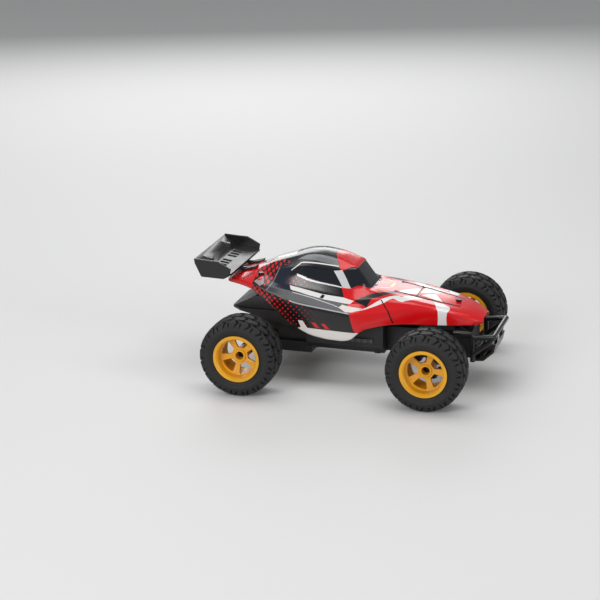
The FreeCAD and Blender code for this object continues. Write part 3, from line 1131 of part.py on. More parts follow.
def bumper():
    """The front bumper: two bent side hoops, cross bars and a skid plate."""
    front = LENGTH / 2
    r = BUMPER_TUBE_R
    y = BUMPER_HALF_WIDTH
    bar_x = front - r
    rear_x = FRONT_X + 10
    side_z = NOSE_TOP + 2 + r + 0.2
    down_x = FRONT_X + 24.5
    low_z = TUB_FLOOR - 2
    side_points = [(rear_x, y, side_z), (down_x, y, side_z), (down_x, y, low_z + r)]
    pieces = []
    for side in (-1, 1):
        path = [(px, side * py, pz) for px, py, pz in side_points]
        pieces.append(tube_path(path, r, 4.0))
        pieces.append(rod(r, (down_x, side * y, low_z + 8), (bar_x - 3, side * y, BUMPER_BAR_Z - 4.5)))
        pieces.append(rod(r, (down_x, side * y, BUMPER_BAR_Z - 2), (bar_x, side * y, BUMPER_BAR_Z)))
        pieces.append(Part.makeSphere(r, V(bar_x, side * y, BUMPER_BAR_Z)))
        pieces.append(rod(r, (bar_x, side * y, BUMPER_BAR_Z), (bar_x - 3, side * y, BUMPER_BAR_Z - 4.5)))
        pieces.append(rod(r, (rear_x, side * (NOSE_HALF_WIDTH - 3), side_z), (rear_x, side * y, side_z)))
        pieces.append(Part.makeSphere(r, V(rear_x, side * y, side_z)))
    pieces.append(rod(r, (bar_x, -y, BUMPER_BAR_Z), (bar_x, y, BUMPER_BAR_Z)))
    pieces.append(rod(r, (down_x, -y, low_z + 8), (down_x, y, low_z + 8)))
    plate = [(down_x - 2, low_z), (down_x + 7, low_z + 0.6), (bar_x - 1, low_z + 8),
             (bar_x + 0.5, low_z + 15), (bar_x - 1.2, low_z + 15), (bar_x - 2.6, low_z + 8.8),
             (down_x + 6.4, low_z + 2.4), (down_x - 2, low_z + 1.8)]
    half = y - 7
    pieces.append(prism(plate, -half, half))
    for side in (-1, 1):
        pieces.append(prism([(down_x - 2, low_z), (down_x + 3, low_z), (down_x + 3, low_z + 8),
                             (down_x - 2, low_z + 8)], side * 10 - 1.5, side * 10 + 1.5))
        pieces.append(prism([(bar_x - 2.4, low_z + 13), (bar_x, low_z + 13), (bar_x + 0.8, BUMPER_BAR_Z),
                             (bar_x - 1.5, BUMPER_BAR_Z)], side * 10 - 1.5, side * 10 + 1.5))
    pieces.append(box(FRONT_X + NOSE_AHEAD, down_x, -12, 12, TUB_FLOOR, TUB_FLOOR + 9))
    guard = fuse(pieces)
    write("front_bumper", guard)


def main():
    os.makedirs("parts", exist_ok=True)
    chassis()
    underside()
    top_deck()
    gearbox()
    rear_drive()
    rear_tower()
    front_tower()
    front_axle()
    steering()
    wheels()
    write("body_shell", body_shell())
    shell_screws()
    wing()
    bumper()


main()
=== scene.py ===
import json
import math

import bmesh
import bpy
from mathutils import Matrix, Vector
from mathutils.geometry import tessellate_polygon


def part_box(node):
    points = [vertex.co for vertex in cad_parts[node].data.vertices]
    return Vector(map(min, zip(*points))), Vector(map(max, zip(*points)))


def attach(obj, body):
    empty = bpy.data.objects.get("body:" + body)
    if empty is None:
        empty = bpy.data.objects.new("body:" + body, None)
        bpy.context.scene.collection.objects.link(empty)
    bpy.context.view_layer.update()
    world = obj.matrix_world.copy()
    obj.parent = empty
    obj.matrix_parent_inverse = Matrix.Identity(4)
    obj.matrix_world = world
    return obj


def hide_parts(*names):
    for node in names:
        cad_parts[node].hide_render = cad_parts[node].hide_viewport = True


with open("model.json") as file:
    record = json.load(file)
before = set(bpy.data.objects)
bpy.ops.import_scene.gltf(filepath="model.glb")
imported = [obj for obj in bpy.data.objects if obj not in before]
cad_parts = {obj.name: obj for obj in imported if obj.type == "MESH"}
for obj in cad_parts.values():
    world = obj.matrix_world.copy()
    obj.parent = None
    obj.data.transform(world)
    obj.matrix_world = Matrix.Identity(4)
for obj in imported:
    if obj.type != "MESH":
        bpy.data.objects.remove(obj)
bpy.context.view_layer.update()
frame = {"nodes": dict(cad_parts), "record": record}
MM = 0.001

# ---- The studio ----
# A pale seamless table under a wide soft light, with one more on the camera's side, one at
# the nose and one behind, and a long lens a little above and ahead of the car's side.
LENS = 119.0
SENSOR = 36.0
CAMERA_AT = Vector((393.2, -1444.9, 531.6)) * MM
CAMERA_TURN = math.radians(16.85)
CAMERA_TILT = math.radians(17.643)
CAMERA_ROLL = math.radians(0.318)


def camera_matrix():
    """The camera's place and direction, from its turn, tilt and roll."""
    turn, tilt = CAMERA_TURN, CAMERA_TILT
    back = Vector((math.sin(turn) * math.cos(tilt), -math.cos(turn) * math.cos(tilt),
                   math.sin(tilt)))
    level = Vector((math.cos(turn), math.sin(turn), 0))
    upright = back.cross(level)
    right = level * math.cos(CAMERA_ROLL) - upright * math.sin(CAMERA_ROLL)
    up = level * math.sin(CAMERA_ROLL) + upright * math.cos(CAMERA_ROLL)
    turned = Matrix((right, up, back)).transposed().to_4x4()
    return Matrix.Translation(CAMERA_AT) @ turned


lens = bpy.data.cameras.new("camera")
lens.lens = LENS
lens.sensor_width = SENSOR
lens.clip_start = 0.05
camera = bpy.data.objects.new("camera", lens)
camera.matrix_world = camera_matrix()
bpy.context.scene.collection.objects.link(camera)
bpy.context.scene.camera = camera


def srgb(code):
    """Linear colour of an sRGB hex value."""
    parts = [int(code[i:i + 2], 16) / 255 for i in (0, 2, 4)]
    return [c / 12.92 if c <= 0.04045 else ((c + 0.055) / 1.055) ** 2.4 for c in parts] + [1.0]


def node(tree, kind, links=(), **settings):
    """One shader node with its settings, and its inputs set or linked."""
    made = tree.nodes.new(kind)
    for key, value in settings.items():
        setattr(made, key, value)
    for name, value in dict(links).items():
        if isinstance(value, bpy.types.NodeSocket):
            tree.links.new(value, made.inputs[name])
        else:
            made.inputs[name].default_value = value
    return made


def finish_of(name, base="808080", rough=0.5, metal=0.0, coat=0.0, ior=1.5):
    """A new material with a surface shader of constant values; returns it, its tree and shader."""
    material = bpy.data.materials.new(name)
    material.use_nodes = True
    tree = material.node_tree
    shader = tree.nodes["Principled BSDF"]
    shader.inputs["Base Color"].default_value = srgb(base)
    shader.inputs["Roughness"].default_value = rough
    shader.inputs["Metallic"].default_value = metal
    shader.inputs["Coat Weight"].default_value = coat
    shader.inputs["Coat Roughness"].default_value = 0.08
    if not metal:
        shader.inputs["IOR"].default_value = ior
    return material, tree, shader


TABLE_HALF = 6.0
paper = finish_of("seamless_paper", "d9d9d8", 0.7)[0]
table = bmesh.new()
bmesh.ops.create_grid(table, x_segments=2, y_segments=2, size=TABLE_HALF)
table_mesh = bpy.data.meshes.new("table_top")
table.to_mesh(table_mesh)
table_mesh.materials.append(paper)
table_top = bpy.data.objects.new("table_top", table_mesh)
bpy.context.scene.collection.objects.link(table_top)


def soft_light(name, place, aim, size, power, tint="ffffff"):
    """A square soft box at a place, aimed at a point, both in metres."""
    lamp = bpy.data.lights.new(name, "AREA")
    lamp.shape = "RECTANGLE"
    lamp.size, lamp.size_y = size
    lamp.energy = power
    lamp.color = srgb(tint)[:3]
    light = bpy.data.objects.new(name, lamp)
    way = Vector(place) - Vector(aim)
    turned = way.to_track_quat("Z", "Y").to_matrix().to_4x4()
    light.matrix_world = Matrix.Translation(place) @ turned
    bpy.context.scene.collection.objects.link(light)


soft_light("overhead_box", (0.0, 0.1, 1.1), (0, 0, 0.05), (1.5, 0.5), 6)
soft_light("front_box", (-0.5, -1.3, 0.75), (0, 0, 0.05), (0.7, 0.6), 11)
soft_light("nose_box", (1.2, -0.5, 0.45), (0.05, 0, 0.05), (0.5, 0.6), 5)
soft_light("rim_box", (-0.5, 1.2, 0.6), (0, 0, 0.05), (1.0, 0.5), 6)
AIR_LIGHT = 0.38
world = bpy.data.worlds.new("studio_air")
world.use_nodes = True
world.node_tree.nodes["Background"].inputs["Color"].default_value = srgb("e6e8ea")
world.node_tree.nodes["Background"].inputs["Strength"].default_value = AIR_LIGHT
bpy.context.scene.world = world
bpy.context.scene.view_settings.view_transform = "Standard"

# ---- Body shell ----
# One thin moulding in glossy ABS, open below, with printed graphics. Its creases run from
# nose to tail and are given as (x, y, z) in millimetres, y from the car's centre line.
CROWN = [(107, 0, 53.5), (104, 0, 56), (97, 0, 59), (85, 0, 62.2), (50, 0, 69), (18, 0, 72.2),
         (6.5, 0, 87.6), (-10, 0, 95), (-25, 0, 97.3), (-36, 0, 96.2), (-62, 0, 87.5),
         (-86, 0, 76.5), (-96, 0, 73.5)]
PANEL_EDGE = [(107, 4, 53.4), (97, 11, 58.6), (85, 14, 61), (38, 14, 69.8), (18, 12, 71.6),
              (6.5, 12, 87), (-10, 12, 93), (-25, 12, 95.2), (-36, 12, 94), (-62, 11.5, 85.5),
              (-74, 11, 79.5), (-86, 10.5, 76.3), (-96, 10, 73.4)]
WINDOW_TOP = [(107, 6, 53.2), (97, 13.5, 58), (85, 16.5, 60.9), (70, 18, 63.8), (50, 19, 67.5),
              (33, 20, 69.6), (18, 14, 71.5), (10, 15.5, 78.5), (6.5, 14, 85.6), (-3.5, 20, 85.5),
              (-25, 21.5, 86.6), (-36, 21.5, 87), (-50, 21, 84), (-62, 19, 80.5),
              (-74, 16.5, 77.8), (-86, 15, 76), (-96, 14, 73.3)]
WINDOW_BASE = [(107, 7.5, 53), (97, 15, 57.6), (85, 18.5, 60.8), (70, 20.5, 63.8),
               (50, 23, 67.2), (33, 25, 68.4), (20, 21, 70.9), (10, 19.8, 72.4),
               (3, 24.8, 72.9), (-3.5, 25.6, 75), (-25, 26.3, 78.2), (-36, 26, 81.5),
               (-50, 25, 79), (-62, 23, 77), (-74, 20, 76.5), (-86, 18, 75.7), (-96, 17, 73.2)]
DOOR_BASE = [(107, 9, 52.6), (97, 16.5, 57), (85, 20, 60.6), (70, 22.5, 63.5), (50, 26, 66.5),
             (33, 28, 67.5), (20, 29.5, 67), (10, 30, 65.4), (-36, 30.2, 72), (-50, 29.5, 73),
             (-62, 27, 74), (-74, 24, 75.2), (-86, 21.5, 75.3), (-96, 20, 73.1)]
LEDGE = [(107, 10, 52), (97, 18, 56.3), (85, 21.5, 60), (70, 24.5, 62.9), (50, 28, 65.4),
         (33, 30.5, 65.4), (20, 32.5, 63.8), (3, 33, 62.2), (-36, 33, 68.6), (-50, 32.5, 70),
         (-62, 31, 71.5), (-74, 28, 74), (-86, 25, 74.8), (-96, 22.5, 73)]
SHOULDER = [(107, 11, 51.2), (104, 15.5, 52.4), (97, 19.8, 54.3), (85, 23.5, 58.3),
            (76, 25, 61), (46, 31.5, 61.6), (33, 34.5, 59.4), (20, 38.5, 57.3), (10, 41.8, 57),
            (-36, 42, 62.6), (-50, 40.3, 66.4), (-62, 37, 69), (-74, 32, 72.6), (-86, 28, 74),
            (-96, 24.5, 72.6)]
FLANK = [(107, 11, 50.2), (104, 15.6, 50.8), (97, 20.2, 52), (85, 24.2, 54), (76, 26, 55.5),
         (46, 32.5, 56), (33, 36, 54), (20, 40.2, 50), (10, 43.4, 46), (-25, 43.6, 47.5),
         (-43, 42.8, 55), (-50, 41, 60.5), (-62, 37.8, 65.6), (-74, 32.6, 70.5),
         (-86, 28.4, 72.2), (-96, 24.8, 71.4)]
SILL = [(107, 10.5, 49.3), (104, 15.3, 49), (97, 19.8, 48.8), (76, 25.6, 49), (40, 34, 50),
        (20, 39.6, 45.2), (15, 42, 42.5), (10, 43.6, 37), (3, 44, 35.5), (-10, 44, 35.9),
        (-25, 43.9, 38.6), (-43, 42, 47.5), (-56, 39.5, 58.5), (-66, 35.5, 64), (-74, 32, 68),
        (-86, 28, 70), (-96, 24.4, 70)]
CREASES = [CROWN, PANEL_EDGE, WINDOW_TOP, WINDOW_BASE, DOOR_BASE, LEDGE, SHOULDER, FLANK, SILL]
CREASE_SHARPNESS = [0.0, 0.45, 0.8, 0.75, 0.6, 0.85, 0.9, 0.2, 0.0]
STATIONS = [107, 104, 97, 85, 76, 60, 46, 33, 26, 20, 18, 15, 10, 6.5, 3, -3.5, -10, -18, -25,
            -36, -43, -50, -56, -62, -66, -74, -86, -96]


def on_crease(crease, x):
    """The point of a crease at one place along the car."""
    for (xa, ya, za), (xb, yb, zb) in zip(crease, crease[1:]):
        if xb <= x <= xa:
            share = (xa - x) / (xa - xb)
            return Vector((x, ya + share * (yb - ya), za + share * (zb - za)))


shell = bmesh.new()
sharp = shell.edges.layers.float.new("crease_edge")
layout = shell.loops.layers.uv.new("layout")
place = {}
chains = []
for x in STATIONS:
    half = [on_crease(crease, x) * MM for crease in CREASES]
    line = []
    for side, order in ((-1, range(len(half) - 1, 0, -1)), (1, range(len(half)))):
        for i in order:
            vert = shell.verts.new((half[i].x, side * half[i].y, half[i].z))
            place[vert] = (x, i)
            line.append(vert)
    chains.append([shell.edges.new(pair) for pair in zip(line, line[1:])])
for before, after in zip(chains, chains[1:]):
    bmesh.ops.bridge_loops(shell, edges=before + after)
bmesh.ops.holes_fill(shell, edges=chains[0])
for edge in shell.edges:
    (xa, ia), (xb, ib) = place[edge.verts[0]], place[edge.verts[1]]
    if ia == ib:
        edge[sharp] = CREASE_SHARPNESS[ia]
for face in shell.faces:
    for loop in face.loops:
        x, i = place[loop.vert]
        loop[layout].uv = (x, i)
bmesh.ops.recalc_face_normals(shell, faces=shell.faces)
if sum(f.normal.z for f in shell.faces) < 0:
    bmesh.ops.reverse_faces(shell, faces=shell.faces)
cage_mesh = bpy.data.meshes.new("shell_cage")
shell.to_mesh(cage_mesh)
shell.free()
cage = bpy.data.objects.new("shell_cage", cage_mesh)
bpy.context.scene.collection.objects.link(cage)
smooth = cage.modifiers.new("smooth", "SUBSURF")
smooth.levels = 3
smooth.render_levels = 3
skin = bmesh.new()
skin.from_mesh(cage.evaluated_get(bpy.context.evaluated_depsgraph_get()).to_mesh())
bpy.data.objects.remove(cage)

# The windows and panel lines are sunk into the skin. Each is cut along its outline while the
# skin is laid flat: by station and crease, from above, or from one side.
CREASE_STEP = 8.0
CUT_REACH = 3.0
place_of = skin.verts.layers.float_vector.new("place")
chart_of = skin.verts.layers.float_vector.new("chart")
layout = skin.loops.layers.uv["layout"]
for vert in skin.verts:
    u, v = vert.link_loops[0][layout].uv
    vert[place_of] = vert.co
    vert[chart_of] = (u, math.copysign(v, vert.co.y) * CREASE_STEP, 0)


def laid_flat(vert, view):
    """Where a point of the skin lies in a flat view of it."""
    x, y, z = vert[place_of] / MM
    return {"layout": vert[chart_of], "above": Vector((x, y, 0)), "side": Vector((x, z, 0))}[view]


def holds(corners, point):
    """True if a point is inside a closed outline."""
    inside = False
    for a, b in zip(corners, corners[1:] + corners[:1]):
        if (a.y > point.y) != (b.y > point.y):
            if point.x < a.x + (point.y - a.y) / (b.y - a.y) * (b.x - a.x):
                inside = not inside
    return inside


def sunk(view, outline, depth, slope, side):
    """Presses the inside of an outline into the skin, on one side of the car or on both (0)."""
    stretch = CREASE_STEP if view == "layout" else 1.0
    corners = [Vector((a, b * stretch, 0)) for a, b in outline]
    for vert in skin.verts:
        vert.co = laid_flat(vert, view)
    for start, end in zip(corners, corners[1:] + corners[:1]):
        along = end - start
        near = set()
        for face in skin.faces:
            if side * face.verts[0][place_of].y < 0:
                continue
            middle = face.calc_center_median()
            share = min(max((middle - start).dot(along) / along.length_squared, 0), 1)
            if (middle - start - along * share).length < CUT_REACH:
                near.update([face, *face.edges, *face.verts])
        bmesh.ops.bisect_plane(skin, geom=list(near), dist=0.001, plane_co=start,
                               plane_no=along.cross(Vector((0, 0, 1))))
    inside = [face for face in skin.faces if side * face.verts[0][place_of].y >= 0
              and holds(corners, face.calc_center_median())]
    for vert in skin.verts:
        vert.co = vert[place_of]
    skin.normal_update()
    bmesh.ops.inset_region(skin, faces=inside, thickness=slope * MM, depth=-depth * MM,
                           use_boundary=True, use_even_offset=True)
    for vert in skin.verts:
        vert[place_of] = vert.co


WINDSCREEN = [(6.9, 0), (6.9, 1.2), (-3.3, 2.1), (4.4, 3.06), (17.7, 2.49), (20.3, 0.7), (20.3, 0)]
SIDE_WINDOW = [(-34.8, 1.97), (-10.8, 2.07), (-2.6, 3.03), (-30.5, 3.13), (-36.9, 2.64)]
HOOD_LINE = [(36, 11.8), (60, 11.8), (88, 9.2), (88, 10.6), (60, 14.2), (36, 14.2)]
CROSS_LINE = [(53.8, -11.7), (55.2, -11.7), (55.2, 11.7), (53.8, 11.7)]
SIDE_LINE = [(29.2, 66.9), (30.4, 66.9), (37, 59.8), (41.2, 50.4), (40, 50.4), (35.8, 59.8)]
far_half = [(u, -v) for u, v in reversed(WINDSCREEN[1:-1])]
sunk("layout", WINDSCREEN[1:-1] + far_half, 0.45, 0.3, 0)
for side in (-1, 1):
    sunk("layout", [(u, side * v) for u, v in SIDE_WINDOW], 0.45, 0.3, side)
    sunk("above", [(x, side * y) for x, y in HOOD_LINE], 0.4, 0.2, side)
    sunk("side", SIDE_LINE, 0.4, 0.15, side)
sunk("above", CROSS_LINE, 0.4, 0.2, 0)

shell_mesh = bpy.data.meshes.new("painted_shell")
skin.to_mesh(shell_mesh)
skin.free()
shell_mesh.shade_smooth()
shell_mesh.set_sharp_from_angle(angle=math.radians(32))
painted_shell = bpy.data.objects.new("painted_shell", shell_mesh)
bpy.context.scene.collection.objects.link(painted_shell)


def lies_on(tree, kind, links, **settings):
    """The first output of one shader node."""
    return node(tree, kind, links, **settings).outputs[0]


def patch(tree, base, outline):
    """1 inside an outline drawn in two of the shell's coordinates, 0 outside. base holds
    the two coordinates and a 1; an outline that bends inwards is cut into triangles."""
    corners = [Vector(corner) for corner in outline]
    turns = [(b - a).cross(c - b) for a, b, c in
             zip(corners, corners[1:] + corners[:1], corners[2:] + corners[:2])]
    if all(turn > 0 for turn in turns) or all(turn < 0 for turn in turns):
        convex = [corners]
    else:
        flat = [corner.to_3d() for corner in corners]
        convex = [[corners[i] for i in three] for three in tessellate_polygon([flat])]
    whole = None
    for piece in convex:
        centre = sum(piece, Vector((0, 0))) / len(piece)
        depth = None
        for start, end in zip(piece, piece[1:] + piece[:1]):
            across = Vector((start.y - end.y, end.x - start.x)).normalized()
            if across.dot(centre - start) < 0:
                across = -across
            line = (across.x, across.y, 0.002 - across.dot(start))
            side = node(tree, "ShaderNodeVectorMath", {0: base, 1: line}, operation="DOT_PRODUCT")
            side = side.outputs["Value"]
            depth = side if depth is None else lies_on(
                tree, "ShaderNodeMath", {0: depth, 1: side}, operation="MINIMUM")
        whole = depth if whole is None else lies_on(
            tree, "ShaderNodeMath", {0: whole, 1: depth}, operation="MAXIMUM")
    return lies_on(tree, "ShaderNodeMath", {0: whole, 1: 0.0}, operation="GREATER_THAN")


def both(tree, first, second, operation="MULTIPLY"):
    """Two masks combined."""
    return lies_on(tree, "ShaderNodeMath", {0: first, 1: second}, operation=operation)


def painted(tree, under, mask, colour):
    """A colour laid over another where the mask is 1."""
    made = node(tree, "ShaderNodeMix", {0: mask, 6: under, 7: srgb(colour)}, data_type="RGBA")
    return made.outputs[2]


# The shell's colour: printed graphics, and one painted highlight along the shoulder crease.
gloss, paint, gloss_shader = finish_of("printed_abs_and_painted_highlight", "c8161c", 0.2, coat=0.15)
spot = node(paint, "ShaderNodeTexCoord").outputs["Object"]
spot_mm = lies_on(paint, "ShaderNodeVectorMath", {0: spot, 1: (1000, 1000, 1000)},
                  operation="MULTIPLY")
axes = node(paint, "ShaderNodeSeparateXYZ", {0: spot_mm})
x_mm, y_mm, z_mm = axes.outputs
side_y = lies_on(paint, "ShaderNodeMath", {0: y_mm}, operation="ABSOLUTE")
chart = node(paint, "ShaderNodeSeparateXYZ", {0: node(paint, "ShaderNodeUVMap", uv_map="layout").outputs[0]})
station, crease_no = chart.outputs[0], chart.outputs[1]
ONE = {"Z": 1.0}
by_layout = lies_on(paint, "ShaderNodeCombineXYZ", {"X": station, "Y": crease_no, **ONE})
from_above = lies_on(paint, "ShaderNodeCombineXYZ", {"X": x_mm, "Y": side_y, **ONE})
from_side = lies_on(paint, "ShaderNodeCombineXYZ", {"X": x_mm, "Y": z_mm, **ONE})
one_sided = lies_on(paint, "ShaderNodeCombineXYZ", {"X": x_mm, "Y": y_mm, **ONE})

RED = "cc0a12"
NIGHT = "0d0d10"
WHITE = "dedcdb"
GREY = "242529"
SILVER = "6c6d71"
GLASS = "10141c"
NAVY = "171c2c"
YELLOW = "d8c418"
rear_black = [(-12, -0.2), (-12, 0.6), (-6.5, 1.75), (-5.1, 1.98), (-2.6, 3.03), (-2.3, 3.25),
              (0.5, 4.06), (7.3, 5.93), (11.9, 7.42), (15.4, 8.4), (-74, 8.4), (-74, -0.2)]
windscreen = [(u, -0.2) if v == 0 else (u, v) for u, v in WINDSCREEN]
roof_graphics = [
    ("26262a", by_layout, [(-44, 0.6), (-12, 0.6), (-9.9, 1.0), (-43, 1.0)]),
    (SILVER, by_layout, [(-33.6, 1.03), (-41.7, 1.37), (-9.9, 1.66), (-7.3, 1.66), (-9.8, 1.1),
                         (-28.8, 1.01)]),
    (WHITE, by_layout, [(-45.4, -0.2), (-45.4, 0.57), (-60.9, 0.4), (-70, 0.51), (-72.7, -0.2)]),
    (WHITE, by_layout, [(-37, 1.64), (-37.2, 1.73), (-7, 1.74), (-7, 1.66)]),
    (WHITE, by_layout, [(-36.5, 1.66), (-37.9, 1.66), (-46.7, 2.57), (-45.2, 2.57)]),
    ("c4c4c8", by_layout, [(-10.7, 2.12), (-4, 2.01), (4.4, 3.06), (-1.6, 3.16)]),
    (WHITE, by_layout, [(-39.3, 2.88), (-36.8, 2.98), (-30.5, 3.13), (-2.5, 3.12), (-2.1, 3.21),
                        (-30.9, 3.29), (-38.7, 3.13)])]
# Printed side graphics, and one painted highlight: the thin light line along the shoulder crease.
side_print_and_painted_highlight = [
    (WHITE, by_layout, [(-44.7, 3.96), (-37.9, 4.06), (-17.4, 4.29), (0.2, 4.07), (8.6, 4.31),
                        (6.2, 4.93), (-14.3, 5.05), (-28.6, 5.0), (-41.5, 4.79), (-43.6, 4.44)]),
    (NIGHT, by_layout, [(-16.8, 4.33), (-14.6, 4.41), (-15.8, 5.02), (-18.6, 4.98)]),
    (GREY, by_layout, [(-43, 5.05), (0.6, 5.06), (7.0, 5.93), (-42, 5.93)]),
    ("b8b8ba", by_layout, [(-40.4, 5.06), (-23.4, 5.15), (-7.5, 5.36), (0, 5.53), (0, 5.6),
                           (-7.5, 5.43), (-23.4, 5.22), (-40.4, 5.13)]),
    ("cfc8c0", by_layout, [(0.1, 5.14), (16.4, 5.44), (9.9, 5.78), (4.3, 5.89), (-1.8, 5.53)]),
    # Painted highlight: a thin light grey line along the shoulder crease, standing in for light catching the
    # crease.
    ("a7a7aa", by_layout, [(-41, 5.94), (7.2, 5.94), (7.6, 6.03), (-41, 6.04)]),
    ("dad5d0", from_side, [(-30.8, 43.9), (14.7, 42.5), (16.5, 30), (-42, 30), (-37.5, 41.0)]),
    ("dad5d0", from_side, [(-33.2, 49.3), (-29.3, 49.1), (-25.3, 43.6), (-30.8, 43.9)]),
    (RED, from_side, [(-22.4, 48.4), (-19.2, 48.3), (-15.4, 44.4), (-18.8, 44.5)]),
    (RED, from_side, [(-14.6, 48.1), (-11.4, 48.0), (-7.6, 44.1), (-11.0, 44.2)])]
hood_graphics = [
    (NIGHT, from_above, [(9.7, 30.3), (15.8, 27.1), (38.7, 13.1), (41.1, 14), (28.4, 25.7),
                         (22.2, 29), (19.7, 34.6), (8.6, 30.9)]),
    (WHITE, from_above, [(7.1, 40.2), (19.7, 34.8), (28.8, 29.3), (38.7, 20.8), (51.8, 14.3),
                         (60.3, 14), (50.5, 23.9), (46.5, 27.2), (42.8, 27.2), (38.7, 25.6),
                         (32.7, 30.5), (27.7, 32.5), (16.2, 37)]),
    (RED, from_above, [(42.7, 19.6), (47, 17), (43.7, 21.2)]),
    (WHITE, one_sided, [(39.5, -11.6), (41.4, -6.9), (51.2, 3.4), (53.7, 5.9), (54.4, -8.5),
                        (47.5, -11.6)]),
    (WHITE, one_sided, [(55.6, 12.4), (57.3, 12.4), (71.1, 9.2), (60.7, -0.1), (55.6, -4.6)]),
    (WHITE, one_sided, [(57.1, -8.2), (61.2, -2.5), (66.5, 1.1), (75.2, -11.5), (67.7, -10.4)]),
    (WHITE, from_above, [(68.4, 14.8), (76.1, 14.1), (81.4, 17), (82.4, 21.5), (80, 26), (75, 27),
                         (72.3, 23.9)]),
    (WHITE, one_sided, [(55.9, 17.7), (81.5, 16.7), (81.4, 13.6), (62, 13.6)]),
    (RED, one_sided, [(67.6, 15.4), (74.4, 15.3), (73.6, 20.3)]),
    (YELLOW, from_above, [(31.2, -1), (33, -1), (33, 6), (31.2, 6)]),
    (YELLOW, from_above, [(20.4, 14.3), (21.4, 14.3), (32.2, 6.9), (31.2, 6.9)])]
tail_graphics = [
    (NAVY, by_layout, [(-60.5, 5.77), (-54.6, 1.81), (-43.5, 1.45), (-44.4, 2.42), (-45, 3.26),
                       (-44, 3.83), (-41.8, 4.99), (-57.1, 5.73)]),
    ("77787c", by_layout, [(-60.5, 5.8), (-54.6, 1.81), (-55.4, 1.81), (-61.3, 5.8)]),
    ("9c8a8d", by_layout, [(-73.5, 5.2), (-70.5, 3.9), (-67.4, 3.29), (-65.2, 5.0), (-67.5, 5.71)]),
    (RED, by_layout, [(-71.5, 4.3), (-68.2, 3.7), (-67.4, 4.1), (-70.8, 4.7)]),
    (NIGHT, by_layout, [(-78, -0.2), (-81, 1.4), (-83, 1.4), (-80, -0.2)]),
    (NIGHT, by_layout, [(-84, 0.4), (-88, 3.4), (-90, 3.4), (-86, 0.4)]),
    (NIGHT, by_layout, [(-77, 2.4), (-82, 5.4), (-83.6, 5.4), (-78.6, 2.4)])]

LATTICE_PITCH = 4.6      # millimetres, measured along the slanted rows
CELL_MIDDLE = (0.5, 0.5, 0)
colour = painted(paint, srgb(RED), patch(paint, by_layout, rear_black), NIGHT)
lattice = lies_on(paint, "ShaderNodeCombineXYZ", {
    "X": lies_on(paint, "ShaderNodeMath", {0: both(paint, x_mm, z_mm, "ADD"), 1: LATTICE_PITCH},
                 operation="DIVIDE"),
    "Y": lies_on(paint, "ShaderNodeMath",
                 {0: both(paint, x_mm, z_mm, "SUBTRACT"), 1: LATTICE_PITCH},
                 operation="DIVIDE")})
cell = lies_on(paint, "ShaderNodeVectorMath", {0: lattice}, operation="FRACTION")
cell = lies_on(paint, "ShaderNodeVectorMath", {0: cell, 1: CELL_MIDDLE}, operation="SUBTRACT")
from_dot = node(paint, "ShaderNodeVectorMath", {0: cell}, operation="LENGTH").outputs["Value"]
dot_size = lies_on(paint, "ShaderNodeMapRange", {
    "Value": station, "From Min": -74.0, "From Max": -12.0, "To Min": 0.44, "To Max": 0.0})
dotted = both(paint, from_dot, dot_size, "LESS_THAN")
lower_side = patch(paint, by_layout, [(-74, 6.1), (-10, 6.1), (-10, 8.4), (-74, 8.4)])
rear_pillar = patch(paint, by_layout, [
    (-75, 0.6), (-61, 0.5), (-46, 1.4), (-57, 2.2), (-62, 5.6), (-75, 3.4)])
behind_window = patch(paint, by_layout, [
    (-47, 3.3), (-36, 3.3), (-24, 3.4), (-24, 3.95), (-45, 3.9)])
for zone in (lower_side, rear_pillar, behind_window):
    colour = painted(paint, colour, both(paint, dotted, zone), RED)
for tint, base, outline in roof_graphics + side_print_and_painted_highlight + hood_graphics + tail_graphics:
    colour = painted(paint, colour, patch(paint, base, outline), tint)
mesh_zone = patch(paint, one_sided, [(34, 0), (52, 4), (52, 12.4), (34, 12.4)])
fine_cell = lies_on(paint, "ShaderNodeVectorMath", {0: spot_mm, 1: (0.55, 0.55, 0)},
                    operation="MULTIPLY")
fine_cell = lies_on(paint, "ShaderNodeVectorMath", {0: fine_cell}, operation="FRACTION")
fine_cell = lies_on(paint, "ShaderNodeVectorMath", {0: fine_cell, 1: CELL_MIDDLE},
                    operation="SUBTRACT")
fine_dot = node(paint, "ShaderNodeVectorMath", {0: fine_cell}, operation="LENGTH").outputs["Value"]
fine_dotted = both(paint, both(paint, fine_dot, 0.4, "LESS_THAN"), mesh_zone)
colour = painted(paint, colour, fine_dotted, "3a0a0e")

hood_lines = [(from_above, HOOD_LINE), (from_above, [(x, max(y, -1)) for x, y in CROSS_LINE]),
              (from_side, SIDE_LINE)]
seam = None
for base, outline in hood_lines:
    drawn = patch(paint, base, outline)
    seam = drawn if seam is None else both(paint, seam, drawn, "MAXIMUM")
colour = painted(paint, colour, seam, "08080a")
glass = both(paint, patch(paint, by_layout, windscreen), patch(paint, by_layout, SIDE_WINDOW), "MAXIMUM")
colour = painted(paint, colour, glass, GLASS)
peel = node(paint, "ShaderNodeTexNoise", {"Vector": spot, "Scale": 260.0, "Detail": 3.0}).outputs["Fac"]
scuff = node(paint, "ShaderNodeTexNoise", {"Vector": spot, "Scale": 38.0, "Detail": 6.0}).outputs["Fac"]
rough = lies_on(paint, "ShaderNodeMapRange", {
    "Value": scuff, "From Min": 0.3, "From Max": 0.7, "To Min": 0.16, "To Max": 0.27})
rough = lies_on(paint, "ShaderNodeMix", {0: glass, 2: rough, 3: 0.05})
dent = lies_on(paint, "ShaderNodeBump", {"Strength": 0.08, "Distance": 0.0003, "Height": peel})
paint.links.new(colour, gloss_shader.inputs["Base Color"])
paint.links.new(rough, gloss_shader.inputs["Roughness"])
paint.links.new(dent, gloss_shader.inputs["Normal"])

